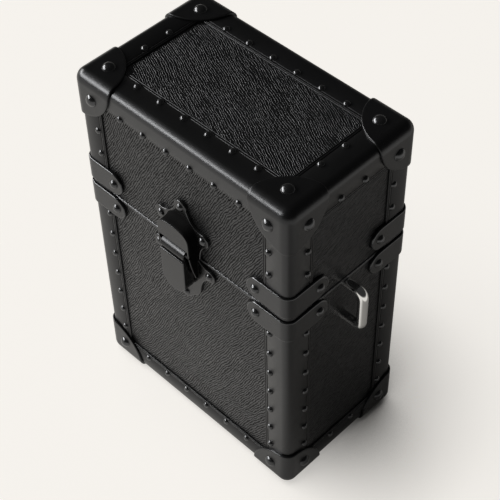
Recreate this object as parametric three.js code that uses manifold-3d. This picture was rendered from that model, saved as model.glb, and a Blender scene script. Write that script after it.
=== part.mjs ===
// Upright jewellery trunk: a hard case in two halves, bound with nailed strips, riveted corner caps
// and bands, and closed by a front clasp. Two trays that lift out stand inside.
// Millimetres. +X is right, +Y is the back, +Z is up. The clasp faces -Y and the floor is z = 0.

import * as THREE from "three";
import { RoundedBoxGeometry } from "three/addons/geometries/RoundedBoxGeometry.js";
import { mergeVertices } from "three/addons/utils/BufferGeometryUtils.js";
import Module from "manifold-3d";

const wasm = await Module();
wasm.setup();

// The case, measured over its edge strips
const caseWidth = 203;
const caseDepth = 121;
const baseHeight = 199;
const lidHeight = 104;
const splitGap = 0.8;
const edgeRound = 7;

// The wall, from the outside in, and the seat between pieces that lie on each other
const stripThick = 1.2;
const coverThick = 1;
const boardThick = 6;
const liningThick = 1;
const seatGap = 0.15;

// Edge strips and their nails, counted for one face of a strip
const stripReach = 23.6;
const nailInset = 18.3;
const nailRadius = 2.8;
const nailHeight = 1.9;
const wideNailPitch = 22.8;
const narrowNailPitch = 23.4;
const baseNailPitch = 22.3;
const lidNailPitch = 23;

// From a cap's edge to the middle of the nearest nail, and from the last nail's edge to a band
const rimNailGap = 12.5;
const baseNailGap = 7.5;
const lidNailGap = 12;
const nailToBand = 0.2;

// Corner caps, with a rivet on each face and a glide in place of the one underneath
const capThick = 1.8;
const capReach = 36;
const capRivetInset = 17;
const capRivetRadius = 5;
const capRivetHeight = 3;
const glideRadius = 5.5;
const glideHeight = 1.7;

// Bands round the upright edges, above and below the split
const bandThick = 1.5;
const bandHeight = 21;
const bandReach = 38.5;
const bandRivetInset = 30;
const bandRivetRadius = 3.8;
const bandRivetHeight = 2.4;
const lidBandGap = 1.8;
const baseBandGap = 2.6;

// Clasp plates: heights are from the split, and what is proud is proud of the strips' outer face
const plateThick = 2.2;
const plateGap = 1;
const waistMargin = 1.9;
const plateRivetRadius = 3.3;
const plateRivetHeight = 2.1;
const upperEarX = 20.7;
const upperEarZ = 22.5;
const upperEarRadius = 5.8;
const upperTipZ = 41;
const upperTipRadius = 7.4;
const lowerWaist = 15.5;
const lowerEarX = 26;
const lowerEarZ = 11;
const lowerEarRadius = 5.6;
const lowerWaveX = 16.2;
const lowerWaveZ = 28.5;
const lowerTipZ = 47;
const lowerTipRadius = 6.8;

// Where the plates' round ends start and stop, in degrees, and how the curves between them bend
const upperEarFrom = -70;
const upperEarTo = 95;
const upperTipFrom = -12;
const lowerEarFrom = 75;
const lowerEarTo = -95;
const earBendShare = 1 / 3;
const waveBendShare = 1 / 6;
const waveDropShare = 1 / 8;
const tipBendShare = 1 / 4;

// The hood that is raised out of the upper plate, with a cheek down each side of the flap
const hoodRim = 28.5;
const hoodSlope = 6.5;
const hoodProud = 9.9;
const hoodRimSetback = 0.6;
const hoodShoulder = 8;
const mouthGap = 2.1;
const cheekThick = 3.3;
const cheekDrop = 17.5;
const cheekProud = 4.3;
const cheekGap = 0.9;
const pinBossRadius = 3;

// The flap, its roll and what holds it shut
const rollProud = 8.6;
const rollRise = 6.9;
const rollRadius = 4.2;
const pinRadius = 1.2;
const pinGap = 0.15;
const flapWidth = 23.7;
const flapTop = 3;
const flapStraight = 24;
const flapDrop = 35.5;
const flapProud = 11.8;
const flapBackGap = 1.45;
const flapFrontThick = 2.4;
const flapSideThick = 2.2;
const flapRunning = 0.35;
const flapNeckSetback = 1;
const keeperWidth = 12;
const keeperNeckWidth = 7;
const keeperHigh = 12;
const keeperLow = 20;
const keeperNeckLength = 3.5;
const keeperHeadThick = 2.4;
const keeperGap = 0.6;
const springWidth = 14;
const springThick = 0.7;
const springBow = 1.3;

// Side handles: round rod bent to a U
const handleRadius = 3.9;
const handleReach = 14;
const handleSpan = 36;
const handleTop = 7.6;
const handleBend = 6.5;

// Rear hinge, between the bands at the back
const hingeSideGap = 8;
const hingeLeafHeight = 14;
const hingeLeafThick = 1.2;
const hingeBarrelRadius = 2.4;
const hingePinRadius = 1;
const hingePinGap = 0.15;
const hingeKnuckleCount = 5;
const hingeKnuckleGap = 0.3;

// Trays, ledges, cushions and mirror
const trayClearance = 0.8;
const trayWall = 3;
const trayDivider = 2;
const trayRimDrop = 1;
const upperTrayHeight = 44;
const lowerTrayHeight = 58;
const trayStackGap = 0.2;
const ringBayWidth = 76;
const cushionSink = 7;
const cushionCrown = 9;
const cushionClearance = 0.8;
const cushionRollCount = 5;
const lowerTrayBaySplit = 20;
const fingerHoleWidth = 26;
const fingerHoleHeight = 11;
const fingerHoleDrop = 9;
const tabWidth = 16;
const tabThick = 1.6;
const tabHeight = 18;
const tabRise = 5;
const ledgeReach = 3;
const ledgeHeight = 5;
const ledgeEndGap = 6;
const padThick = 9;
const padCrown = 3;
const padClearance = 1.2;
const mirrorMarginX = 12;
const mirrorMarginY = 7;
const mirrorThick = 2.4;
const mirrorFrameWidth = 6;
const mirrorLip = 1;
const mirrorLipThick = 0.85;

// Profile of a domed head, in shares of its radius and height, and the shapes of the cushions
const domeFootShare = 0.15;
const domeShares = [
  [0.74, 0.62],
  [0, 1],
];
const crownPower = 6;
const edgeHeightShare = 0.55;

// Fineness of round shapes, and the overrun of cuts
const edgeSegments = 2;
const rivetSides = 8;
const nailSides = 6;
const roundSides = 16;
const capArcSides = 28;
const rodSides = 10;
const rodSteps = 20;
const arcSteps = 5;
const cushionSteps = 6;
const overrun = 2;
const weld = 0.001;

// Levels and planes worked out from the sizes above
const caseHeight = baseHeight + lidHeight;
const footLift = capThick + glideHeight;
const caseTop = footLift + caseHeight;
const splitLevel = footLift + baseHeight;
const halfWidth = caseWidth / 2;
const halfDepth = caseDepth / 2;
const coverInset = stripThick;
const boardInset = coverInset + coverThick + seatGap;
const liningInset = boardInset + boardThick + seatGap;
const roomInset = liningInset + liningThick;
const wellFloor = footLift + roomInset;
const lidCeiling = caseTop - roomInset;
const cutLength = caseWidth + caseDepth + caseHeight;
const capEdge = Math.sqrt(capReach ** 2 - nailInset ** 2);
const rearReach = halfDepth + capThick + capRivetHeight;
const claspReach = halfDepth + rollProud + rollRadius;
const frameShift = (claspReach - rearReach) / 2;

// Finishes
const finishes = {
  grainedLeather: { color: 0x1b1b1c, roughness: 0.55, metalness: 0 },
  smoothLeather: { color: 0x161616, roughness: 0.5, metalness: 0 },
  blackMetal: { color: 0x111112, roughness: 0.32, metalness: 0.8 },
  chrome: { color: 0xd8d8d6, roughness: 0.08, metalness: 1 },
  board: { color: 0x8a6a48, roughness: 0.8, metalness: 0 },
  suede: { color: 0x3a3532, roughness: 0.95, metalness: 0 },
  velvet: { color: 0x2c2928, roughness: 1, metalness: 0 },
  mirror: { color: 0xe6e8ea, roughness: 0.02, metalness: 1 },
};

// A closed geometry, put in place by a matrix, as a solid that can be joined and cut.
function solidOf(geometry, matrix = new THREE.Matrix4()) {
  const bare = geometry.index ? geometry.toNonIndexed() : geometry.clone();
  bare.deleteAttribute("normal");
  bare.deleteAttribute("uv");
  const merged = mergeVertices(bare.applyMatrix4(matrix), weld);
  const triVerts = new Uint32Array(merged.index.array);
  if (matrix.determinant() < 0) triVerts.reverse();
  const vertProperties = merged.attributes.position.array;
  return new wasm.Manifold(new wasm.Mesh({ numProp: 3, vertProperties, triVerts }));
}

function union(solids) {
  return solids.reduce((whole, next) => whole.add(next));
}

// The mesh of a solid, added to a group under its node's name.
function addPiece(group, name, solid, finish) {
  const { vertProperties, triVerts } = solid.getMesh();
  const geometry = new THREE.BufferGeometry();
  geometry.setAttribute("position", new THREE.BufferAttribute(new Float32Array(vertProperties), 3));
  geometry.setIndex(new THREE.BufferAttribute(new Uint32Array(triVerts), 1));
  geometry.computeVertexNormals();
  const mesh = new THREE.Mesh(geometry, new THREE.MeshStandardMaterial(finishes[finish]));
  mesh.name = name;
  group.add(mesh);
  return mesh;
}

// A box between two corners given in any order.
function block(a, b) {
  const low = new THREE.Vector3(...a).min(new THREE.Vector3(...b));
  const high = new THREE.Vector3(...a).max(new THREE.Vector3(...b));
  const size = high.clone().sub(low);
  const middle = high.clone().add(low).divideScalar(2);
  const box = new THREE.BoxGeometry(size.x, size.y, size.z);
  return solidOf(box, new THREE.Matrix4().setPosition(middle));
}

// An outline extruded by a length. x and y are the world directions of the outline's two axes, and
// the extrusion runs along z from the origin.
function prism(shape, length, origin, x, y, z) {
  const geometry = new THREE.ExtrudeGeometry(shape, {
    depth: length,
    bevelEnabled: false,
    curveSegments: arcSteps,
  });
  const matrix = new THREE.Matrix4().makeBasis(x, y, z).setPosition(...origin);
  return solidOf(geometry, matrix);
}

const rightward = new THREE.Vector3(1, 0, 0);
const back = new THREE.Vector3(0, 1, 0);
const up = new THREE.Vector3(0, 0, 1);
const front = back.clone().negate();

// An outline drawn in x and z, extruded from one y forwards.
function frontPrism(shape, yBack, length) {
  return prism(shape, length, [0, yBack, 0], rightward, up, front);
}

// A side profile drawn in proudness and height above the split, extruded over a width about x = 0.
function sidePrism(shape, width) {
  return prism(shape, width, [-width / 2, -halfDepth, splitLevel], front, up, rightward);
}

// A round bar along x about a point.
function crossBar(radius, width, y, z) {
  const bar = new THREE.CylinderGeometry(radius, radius, width, roundSides);
  const matrix = new THREE.Matrix4().makeRotationZ(Math.PI / 2).setPosition(0, y, z);
  return solidOf(bar, matrix);
}

// A domed head that stands on a surface point along its normal, with its foot just below the surface.
function dome(point, normal, radius, height, sides) {
  const foot = height * domeFootShare;
  const profile = [new THREE.Vector2(0, -foot - foot), new THREE.Vector2(radius, -foot)];
  for (const [r, h] of domeShares) profile.push(new THREE.Vector2(radius * r, height * h));
  const turn = new THREE.Quaternion().setFromUnitVectors(back, normal);
  const matrix = new THREE.Matrix4().makeRotationFromQuaternion(turn).setPosition(point);
  return solidOf(new THREE.LatheGeometry(profile, sides), matrix);
}

// The rounded case grown by a distance on every side, or shrunk by a negative one.
function caseSolid(grow) {
  const box = new RoundedBoxGeometry(
    caseWidth + 2 * grow,
    caseDepth + 2 * grow,
    caseHeight + 2 * grow,
    edgeSegments,
    edgeRound + grow,
  );
  return solidOf(box, new THREE.Matrix4().setPosition(0, 0, footLift + caseHeight / 2));
}

// The case's room, shrunk from its outer faces by an inset.
function roomBlock(inset, low, high) {
  const x = halfWidth - inset;
  const y = halfDepth - inset;
  return block([-x, -y, low], [x, y, high]);
}

const baseTop = splitLevel - splitGap / 2;
const lidBottom = splitLevel + splitGap / 2;
const belowSplit = block([-cutLength, -cutLength, -cutLength], [cutLength, cutLength, baseTop]);
const aboveSplit = block([-cutLength, -cutLength, lidBottom], [cutLength, cutLength, cutLength]);
const halves = {
  base: { part: belowSplit, low: footLift, edge: -1 },
  lid: { part: aboveSplit, low: caseTop, edge: 1 },
};
const corners = [
  { side: "front_left", x: -1, y: -1 },
  { side: "front_right", x: 1, y: -1 },
  { side: "back_right", x: 1, y: 1 },
  { side: "back_left", x: -1, y: 1 },
];

// The case without what lies inside the frame of strips: a window through it on each axis.
function stripFrame(solid, reach) {
  const x = halfWidth - reach;
  const y = halfDepth - reach;
  const low = footLift + reach;
  const high = caseTop - reach;
  return solid
    .subtract(block([-cutLength, -y, low], [cutLength, y, high]))
    .subtract(block([-x, -cutLength, low], [x, cutLength, high]))
    .subtract(block([-x, -y, -cutLength], [x, y, cutLength]));
}

const coverBody = caseSolid(-coverInset);
const coverSeat = caseSolid(-coverInset + seatGap);
const frameOfStrips = stripFrame(caseSolid(0).subtract(coverSeat), stripReach);
// What caps and bands lie on: strips and cover, grown by the seat gap.
const underlay = stripFrame(caseSolid(seatGap), stripReach + seatGap).add(coverSeat);

function columnBlock(corner, reach) {
  const x = corner.x * (halfWidth - reach);
  const y = corner.y * (halfDepth - reach);
  return block([x, y, -cutLength], [corner.x * cutLength, corner.y * cutLength, cutLength]);
}

function directionOf(x, y, z) {
  return new THREE.Vector3(x, y, z);
}

// Places at a pitch within a length: from its start, or centred on zero.
function rowFrom(start, length, pitch) {
  const count = Math.floor(length / Math.abs(pitch)) + 1;
  return Array.from({ length: count }, (_, i) => start + i * pitch);
}

function centredRow(length, pitch) {
  return rowFrom(-(Math.floor(length / pitch) * pitch) / 2, length, pitch);
}

function stripNail(x, y, z, normal) {
  return dome(new THREE.Vector3(x, y, z), normal, nailRadius, nailHeight, nailSides);
}

// The heights of the nails in an upright strip, from the cap's edge to the band.
function uprightNails(half) {
  const band = bandHeight + nailToBand + nailRadius;
  if (half === "base") {
    const length = baseHeight - capEdge - baseNailGap - baseBandGap - band;
    return rowFrom(footLift + capEdge + baseNailGap, length, baseNailPitch);
  }
  const length = lidHeight - capEdge - lidNailGap - lidBandGap - band;
  return rowFrom(caseTop - capEdge - lidNailGap, length, -lidNailPitch);
}

// An upright strip round one corner, with a row of nails on each of its two faces.
function uprightStrip(half, corner) {
  const strip = frameOfStrips.intersect(columnBlock(corner, stripReach)).intersect(halves[half].part);
  const nails = uprightNails(half).flatMap((z) => [
    stripNail(corner.x * (halfWidth - nailInset), corner.y * halfDepth, z, directionOf(0, corner.y, 0)),
    stripNail(corner.x * halfWidth, corner.y * (halfDepth - nailInset), z, directionOf(corner.x, 0, 0)),
  ]);
  return union([strip, ...nails]);
}

// The strips that frame the underside of the base or the top of the lid.
const rimSides = [
  { side: "front", x: 0, y: -1 },
  { side: "right", x: 1, y: 0 },
  { side: "back", x: 0, y: 1 },
  { side: "left", x: -1, y: 0 },
];

function rimStrip(half, rim) {
  const { low, edge, part } = halves[half];
  const along = rim.x === 0;
  const inner = stripReach + seatGap;
  const x = halfWidth - inner;
  const y = halfDepth - inner;
  const zone = along
    ? block([-x, 0, -cutLength], [x, rim.y * cutLength, cutLength])
    : block([0, -y, -cutLength], [rim.x * cutLength, y, cutLength]);
  const strip = frameOfStrips.intersect(zone).intersect(part);
  const nailLevel = low - edge * nailInset;
  const free = (along ? caseWidth : caseDepth) - 2 * (capEdge + rimNailGap);
  const row = centredRow(free, along ? wideNailPitch : narrowNailPitch);
  const outward = directionOf(rim.x, rim.y, 0);
  const nails = row.flatMap((s) => {
    const faceX = along ? s : rim.x * halfWidth;
    const faceY = along ? rim.y * halfDepth : s;
    const topX = along ? s : rim.x * (halfWidth - nailInset);
    const topY = along ? rim.y * (halfDepth - nailInset) : s;
    const side = stripNail(faceX, faceY, nailLevel, outward);
    return half === "lid" ? [side, stripNail(topX, topY, caseTop, up)] : [side];
  });
  return union([strip, ...nails]);
}

// A cap over one corner, cut round by a sphere about the sharp corner.
function cornerCap(half, corner) {
  const { low, edge } = halves[half];
  const tip = new THREE.Vector3(corner.x * halfWidth, corner.y * halfDepth, low);
  const ball = new THREE.SphereGeometry(capReach, capArcSides, capArcSides / 2);
  const reach = solidOf(ball, new THREE.Matrix4().setPosition(tip));
  const skin = caseSolid(capThick).intersect(reach).subtract(underlay);
  const place = (x, y, z) =>
    new THREE.Vector3(tip.x + corner.x * x, tip.y + corner.y * y, tip.z + edge * z);
  const inset = -capRivetInset;
  const rivet = (point, normal) =>
    dome(point, normal, capRivetRadius, capRivetHeight, rivetSides);
  const pieces = [
    skin,
    rivet(place(inset, capThick, inset), directionOf(0, corner.y, 0)),
    rivet(place(capThick, inset, inset), directionOf(corner.x, 0, 0)),
  ];
  if (half === "lid") pieces.push(rivet(place(inset, inset, capThick), up));
  else pieces.push(glide(place(inset, inset, 0)));
  return union(pieces);
}

// A flat disc under a corner, from within the cap down to the floor.
function glide(point) {
  const height = footLift - seatGap - capThick / 2;
  const disc = new THREE.CylinderGeometry(glideRadius, glideRadius, height, roundSides);
  const matrix = new THREE.Matrix4().makeRotationX(Math.PI / 2).setPosition(point.x, point.y, height / 2);
  return solidOf(disc, matrix);
}

// A band round an upright edge: full height at the corner and a round end on each face.
function cornerBand(half, corner) {
  const { edge } = halves[half];
  const gap = half === "lid" ? lidBandGap : baseBandGap;
  const middle = splitLevel + edge * (gap + bandHeight / 2);
  const radius = bandHeight / 2;
  const shape = new THREE.Shape();
  shape.moveTo(-overrun, -radius);
  shape.lineTo(bandReach - radius, -radius);
  shape.absarc(bandReach - radius, 0, radius, -Math.PI / 2, Math.PI / 2, false);
  shape.lineTo(-overrun, radius);
  const inwardX = directionOf(-corner.x, 0, 0);
  const inwardY = directionOf(0, -corner.y, 0);
  const depth = edgeRound + overrun;
  const x = corner.x * halfWidth;
  const y = corner.y * halfDepth;
  const outX = x + corner.x * overrun;
  const outY = y + corner.y * overrun;
  const wideFace = prism(shape, depth, [x, outY, middle], inwardX, up, inwardY);
  const narrowFace = prism(shape, depth, [outX, y, middle], inwardY, up, inwardX);
  const skin = caseSolid(bandThick).intersect(wideFace.add(narrowFace)).subtract(underlay);
  const rivet = (px, py, normal) =>
    dome(new THREE.Vector3(px, py, middle), normal, bandRivetRadius, bandRivetHeight, rivetSides);
  return union([
    skin,
    rivet(x - corner.x * bandRivetInset, y + corner.y * bandThick, directionOf(0, corner.y, 0)),
    rivet(x + corner.x * bandThick, y - corner.y * bandRivetInset, directionOf(corner.x, 0, 0)),
  ]);
}

const trunk = new THREE.Group();
const base = new THREE.Group();
const lid = new THREE.Group();
const flap = new THREE.Group();
const lowerTray = new THREE.Group();
const upperTray = new THREE.Group();
trunk.add(base, lid, flap, lowerTray, upperTray);
trunk.position.y = frameShift;

function addShells() {
  const board = caseSolid(-boardInset);
  const well = roomBlock(boardInset + boardThick, footLift + boardInset + boardThick, cutLength);
  const loft = roomBlock(boardInset + boardThick, -cutLength, caseTop - boardInset - boardThick);
  addPiece(base, "base_shell", board.intersect(belowSplit).subtract(well), "board");
  addPiece(lid, "lid_shell", board.intersect(aboveSplit).subtract(loft), "board");
  const cover = coverBody.subtract(caseSolid(-coverInset - coverThick));
  addPiece(base, "base_cover", cover.intersect(belowSplit), "grainedLeather");
  addPiece(lid, "lid_cover", cover.intersect(aboveSplit), "grainedLeather");
  const baseLining = roomBlock(liningInset, footLift + liningInset, baseTop);
  const lidLining = roomBlock(liningInset, lidBottom, caseTop - liningInset);
  const wellRoom = roomBlock(roomInset, wellFloor, cutLength);
  const lidRoom = roomBlock(roomInset, -cutLength, lidCeiling);
  addPiece(base, "base_lining", baseLining.subtract(wellRoom), "suede");
  addPiece(lid, "lid_lining", lidLining.subtract(lidRoom), "suede");
}

function addBindings() {
  for (const [half, group] of Object.entries({ base, lid })) {
    for (const corner of corners) {
      addPiece(group, `${half}_strip_${corner.side}`, uprightStrip(half, corner), "smoothLeather");
      addPiece(group, `${half}_cap_${corner.side}`, cornerCap(half, corner), "smoothLeather");
      addPiece(group, `${half}_band_${corner.side}`, cornerBand(half, corner), "smoothLeather");
    }
    for (const rim of rimSides) {
      addPiece(group, `${half}_rim_strip_${rim.side}`, rimStrip(half, rim), "smoothLeather");
    }
  }
}

// Clasp plates lie on the cover. Their outlines are drawn in x and height above the split.
const plateBack = -(halfDepth - coverInset + seatGap);
const plateProud = plateThick - coverInset + seatGap;

const hoodHalf = flapWidth / 2 + flapRunning + cheekThick;
const hoodWidth = 2 * hoodHalf;
const hoodTop = hoodRim + hoodSlope;
const hoodMouth = rollRise + rollRadius + mouthGap;
const upperWaist = hoodHalf + waistMargin;
const rollY = -halfDepth - rollProud;
const rollCentre = splitLevel + rollRise;

// An outline about x = 0 whose right half is drawn by a function, closed by that half's mirror image.
function mirroredShape(drawRight) {
  const half = new THREE.Path();
  drawRight(half);
  const right = half.getPoints(arcSteps);
  const left = right.filter((p) => p.x > weld).map((p) => new THREE.Vector2(-p.x, p.y));
  return new THREE.Shape([...right, ...left.reverse()]);
}

function radians(degrees) {
  return THREE.MathUtils.degToRad(degrees);
}

// The point of a round end at a turn in degrees.
function roundPoint(x, z, radius, turn) {
  return [x + radius * Math.cos(radians(turn)), z + radius * Math.sin(radians(turn))];
}

function upperPlateShape() {
  const waistBend = (plateGap + upperEarZ) / 2;
  const tipBendX = (upperTipRadius + upperEarX - upperEarRadius) / 2;
  return mirroredShape((half) => {
    half.moveTo(upperWaist, plateGap);
    half.quadraticCurveTo(
      upperWaist,
      waistBend,
      ...roundPoint(upperEarX, upperEarZ, upperEarRadius, upperEarFrom),
    );
    half.absarc(upperEarX, upperEarZ, upperEarRadius, radians(upperEarFrom), radians(upperEarTo));
    half.quadraticCurveTo(
      tipBendX,
      upperEarZ + upperEarRadius,
      ...roundPoint(0, upperTipZ, upperTipRadius, upperTipFrom),
    );
    half.absarc(0, upperTipZ, upperTipRadius, radians(upperTipFrom), Math.PI / 2);
  });
}

function lowerPlateShape() {
  const earBendX = lowerWaist + (lowerEarX - lowerWaist) * earBendShare;
  const waveBendX = lowerWaveX + (lowerEarX - lowerWaveX) * waveBendShare;
  const waveBendZ = lowerEarZ + lowerEarRadius + (lowerWaveZ - lowerEarZ) * waveDropShare;
  const tipBendX = (lowerWaveX + lowerTipRadius) / 2;
  const tipBendZ = (lowerTipZ + lowerWaveZ) / 2 + lowerTipRadius * tipBendShare;
  const [earFrom, earTo] = [radians(lowerEarFrom), radians(lowerEarTo)];
  return mirroredShape((half) => {
    half.moveTo(lowerWaist, -plateGap);
    half.quadraticCurveTo(
      earBendX,
      lowerEarRadius - lowerEarZ,
      ...roundPoint(lowerEarX, -lowerEarZ, lowerEarRadius, lowerEarFrom),
    );
    half.absarc(lowerEarX, -lowerEarZ, lowerEarRadius, earFrom, earTo, true);
    half.quadraticCurveTo(waveBendX, -waveBendZ, lowerWaveX, -lowerWaveZ);
    half.quadraticCurveTo(tipBendX, -tipBendZ, lowerTipRadius, -lowerTipZ);
    half.absarc(0, -lowerTipZ, lowerTipRadius, 0, -Math.PI / 2, true);
  });
}

function atSplit(solid) {
  return solid.translate([0, 0, splitLevel]);
}

function plateRivets(places) {
  return places.map(([x, z]) =>
    dome(
      new THREE.Vector3(x, -halfDepth - plateProud, z),
      front,
      plateRivetRadius,
      plateRivetHeight,
      rivetSides,
    ),
  );
}

// Side profile of the hood and its cheeks, drawn in proudness and height above the split.
function hoodProfile() {
  const cheekBack = plateProud + cheekGap;
  const shape = new THREE.Shape();
  shape.moveTo(0, plateGap);
  shape.lineTo(cheekBack, plateGap);
  shape.lineTo(cheekBack, -cheekDrop);
  shape.lineTo(cheekProud, -cheekDrop);
  shape.lineTo(hoodProud, hoodMouth);
  shape.lineTo(hoodProud, (hoodMouth + hoodRim) / 2);
  shape.quadraticCurveTo(hoodProud, hoodRim, hoodProud - hoodRimSetback - plateProud, hoodRim);
  shape.quadraticCurveTo(plateProud + plateProud, (hoodRim + hoodTop) / 2, plateProud, hoodTop);
  shape.lineTo(0, hoodTop);
  return shape;
}

// Front outline of the hood: straight sides and round shoulders.
function hoodOutline() {
  const x = hoodHalf;
  const shape = new THREE.Shape();
  shape.moveTo(-x, -cheekDrop - overrun);
  shape.lineTo(x, -cheekDrop - overrun);
  shape.lineTo(x, hoodRim - hoodShoulder);
  shape.quadraticCurveTo(x, hoodRim, x - hoodShoulder, hoodTop);
  shape.lineTo(hoodShoulder - x, hoodTop);
  shape.quadraticCurveTo(-x, hoodRim, -x, hoodRim - hoodShoulder);
  return shape;
}

function addUpperPlate() {
  const plate = atSplit(frontPrism(upperPlateShape(), plateBack, plateThick));
  const outline = atSplit(frontPrism(hoodOutline(), plateBack - plateThick / 2, claspReach));
  const hood = sidePrism(hoodProfile(), hoodWidth).intersect(outline);
  const boss = crossBar(pinBossRadius, hoodWidth, rollY, rollCentre);
  const mouthX = flapWidth / 2 + flapRunning;
  const mouth = block(
    [-mouthX, -halfDepth - plateProud, -cutLength],
    [mouthX, -cutLength, splitLevel + hoodMouth],
  );
  const pinHole = crossBar(pinRadius + pinGap, hoodWidth + overrun, rollY, rollCentre);
  const raised = hood.add(boss).subtract(mouth).subtract(pinHole);
  const rivets = plateRivets([
    [0, splitLevel + upperTipZ],
    [upperEarX, splitLevel + upperEarZ],
    [-upperEarX, splitLevel + upperEarZ],
  ]);
  addPiece(lid, "clasp_upper_plate", union([plate, raised, ...rivets]), "blackMetal");
  const pin = crossBar(pinRadius, hoodWidth, rollY, rollCentre);
  addPiece(lid, "clasp_pin", pin, "blackMetal");
}

function addLowerPlate() {
  const plate = atSplit(frontPrism(lowerPlateShape(), plateBack, plateThick));
  const rivets = plateRivets([
    [0, splitLevel - lowerTipZ],
    [lowerEarX, splitLevel - lowerEarZ],
    [-lowerEarX, splitLevel - lowerEarZ],
  ]);
  addPiece(base, "clasp_lower_plate", union([plate, ...rivets]), "blackMetal");
  const seat = -halfDepth - plateProud - seatGap;
  const low = splitLevel - keeperLow;
  const high = splitLevel - keeperHigh;
  const neckY = seat - keeperNeckLength;
  const neck = block([-keeperNeckWidth / 2, seat, low], [keeperNeckWidth / 2, neckY, high]);
  const head = block(
    [-keeperWidth / 2, neckY, low],
    [keeperWidth / 2, neckY - keeperHeadThick, high],
  );
  addPiece(base, "clasp_keeper", neck.add(head), "blackMetal");
}

// Front outline of the flap: straight sides and a flat round end.
function flapOutline(inset, top) {
  const x = flapWidth / 2 - inset;
  const drop = flapDrop - inset;
  const shape = new THREE.Shape();
  shape.moveTo(x, top);
  shape.lineTo(-x, top);
  shape.lineTo(-x, -flapStraight);
  shape.absellipse(0, -flapStraight, x, drop - flapStraight, Math.PI, 2 * Math.PI, false, 0);
  return shape;
}

function addFlap() {
  const backY = -halfDepth - plateProud - flapBackGap;
  const thick = flapProud - plateProud - flapBackGap;
  const body = atSplit(frontPrism(flapOutline(0, flapTop), backY, thick));
  const pocketOutline = flapOutline(flapSideThick, flapTop + overrun);
  const pocketDepth = thick - flapFrontThick;
  const pocket = atSplit(frontPrism(pocketOutline, backY + overrun, pocketDepth + overrun));
  const slotX = keeperWidth / 2 + keeperGap;
  const slot = block(
    [-slotX, backY + overrun, -cutLength],
    [slotX, backY - pocketDepth, splitLevel - flapStraight],
  );
  const roll = crossBar(rollRadius, flapWidth, rollY, rollCentre);
  const neck = block(
    [-flapWidth / 2, rollY, splitLevel + flapTop - flapFrontThick],
    [flapWidth / 2, -halfDepth - flapProud + flapNeckSetback, rollCentre],
  );
  const bore = crossBar(pinRadius + pinGap, flapWidth + overrun, rollY, rollCentre);
  const whole = body.subtract(pocket).subtract(slot).add(neck).add(roll).subtract(bore);
  addPiece(flap, "clasp_flap", whole, "blackMetal");
  addSpring(flapProud - flapFrontThick - seatGap);
}

// A bowed leaf on the inner face of the flap's front, which presses on the keeper.
function addSpring(seat) {
  const top = -seatGap;
  const bottom = -keeperLow;
  const middle = (top + bottom) / 2;
  const shape = new THREE.Shape();
  shape.moveTo(seat, top);
  shape.lineTo(seat, bottom);
  shape.lineTo(seat - springThick, bottom);
  shape.quadraticCurveTo(seat - springThick - springBow, middle, seat - springThick, top);
  addPiece(flap, "flap_spring", sidePrism(shape, springWidth), "blackMetal");
}

const handleRoot = halfWidth - coverInset + seatGap;

// The middle line of a handle, from one root over two round bends to the other.
function handlePath(side) {
  const outX = halfWidth + handleReach;
  const bendX = outX - handleBend;
  const high = splitLevel - handleTop;
  const low = high - handleSpan;
  const at = (x, z) => new THREE.Vector3(x * side, 0, z);
  const line = (...ends) => new THREE.LineCurve3(...ends);
  const bend = (...points) => new THREE.QuadraticBezierCurve3(...points);
  const path = new THREE.CurvePath();
  path.add(line(at(handleRoot, high), at(bendX, high)));
  path.add(bend(at(bendX, high), at(outX, high), at(outX, high - handleBend)));
  path.add(line(at(outX, high - handleBend), at(outX, low + handleBend)));
  path.add(bend(at(outX, low + handleBend), at(outX, low), at(bendX, low)));
  path.add(line(at(bendX, low), at(handleRoot, low)));
  return path;
}

// A round rod bent to a U that stands out of a side of the base.
function addHandle(name, side) {
  const circle = new THREE.EllipseCurve(0, 0, handleRadius, handleRadius);
  const section = new THREE.Shape(circle.getPoints(rodSides).slice(1));
  const rod = new THREE.ExtrudeGeometry(section, { steps: rodSteps, extrudePath: handlePath(side) });
  const cut = block([-handleRoot, -cutLength, -cutLength], [handleRoot, cutLength, cutLength]);
  addPiece(base, name, solidOf(rod).subtract(cut), "chrome");
}

// The hinge's axis runs along x behind the cover, level with the split.
const hingeSeat = halfDepth - coverInset + seatGap;
const hingeY = hingeSeat + hingeBarrelRadius;
const hingeLength = caseWidth - 2 * (bandReach + hingeSideGap);

function hingeLeaf(firstKnuckle, edge) {
  const half = hingeLength / 2;
  const knuckle = hingeLength / hingeKnuckleCount;
  const clear = hingeBarrelRadius + hingeKnuckleGap;
  const plate = block(
    [-half, hingeSeat, splitLevel + edge * clear],
    [half, hingeSeat + hingeLeafThick, splitLevel + edge * (clear + hingeLeafHeight)],
  );
  const parts = [plate];
  for (let i = firstKnuckle; i < hingeKnuckleCount; i += 2) {
    const low = -half + i * knuckle + hingeKnuckleGap / 2;
    const high = low + knuckle - hingeKnuckleGap;
    const barrel = crossBar(hingeBarrelRadius, high - low, hingeY, splitLevel);
    parts.push(barrel.translate([(low + high) / 2, 0, 0]));
    parts.push(
      block(
        [low, hingeSeat, splitLevel],
        [high, hingeSeat + hingeLeafThick, splitLevel + edge * (clear + hingeLeafThick)],
      ),
    );
  }
  const bore = crossBar(hingePinRadius + hingePinGap, hingeLength + overrun, hingeY, splitLevel);
  return union(parts).subtract(bore);
}

function addHinge() {
  addPiece(base, "hinge_leaf_base", hingeLeaf(0, -1), "blackMetal");
  addPiece(lid, "hinge_leaf_lid", hingeLeaf(1, 1), "blackMetal");
  addPiece(base, "hinge_pin", crossBar(hingePinRadius, hingeLength, hingeY, splitLevel), "blackMetal");
}

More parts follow.
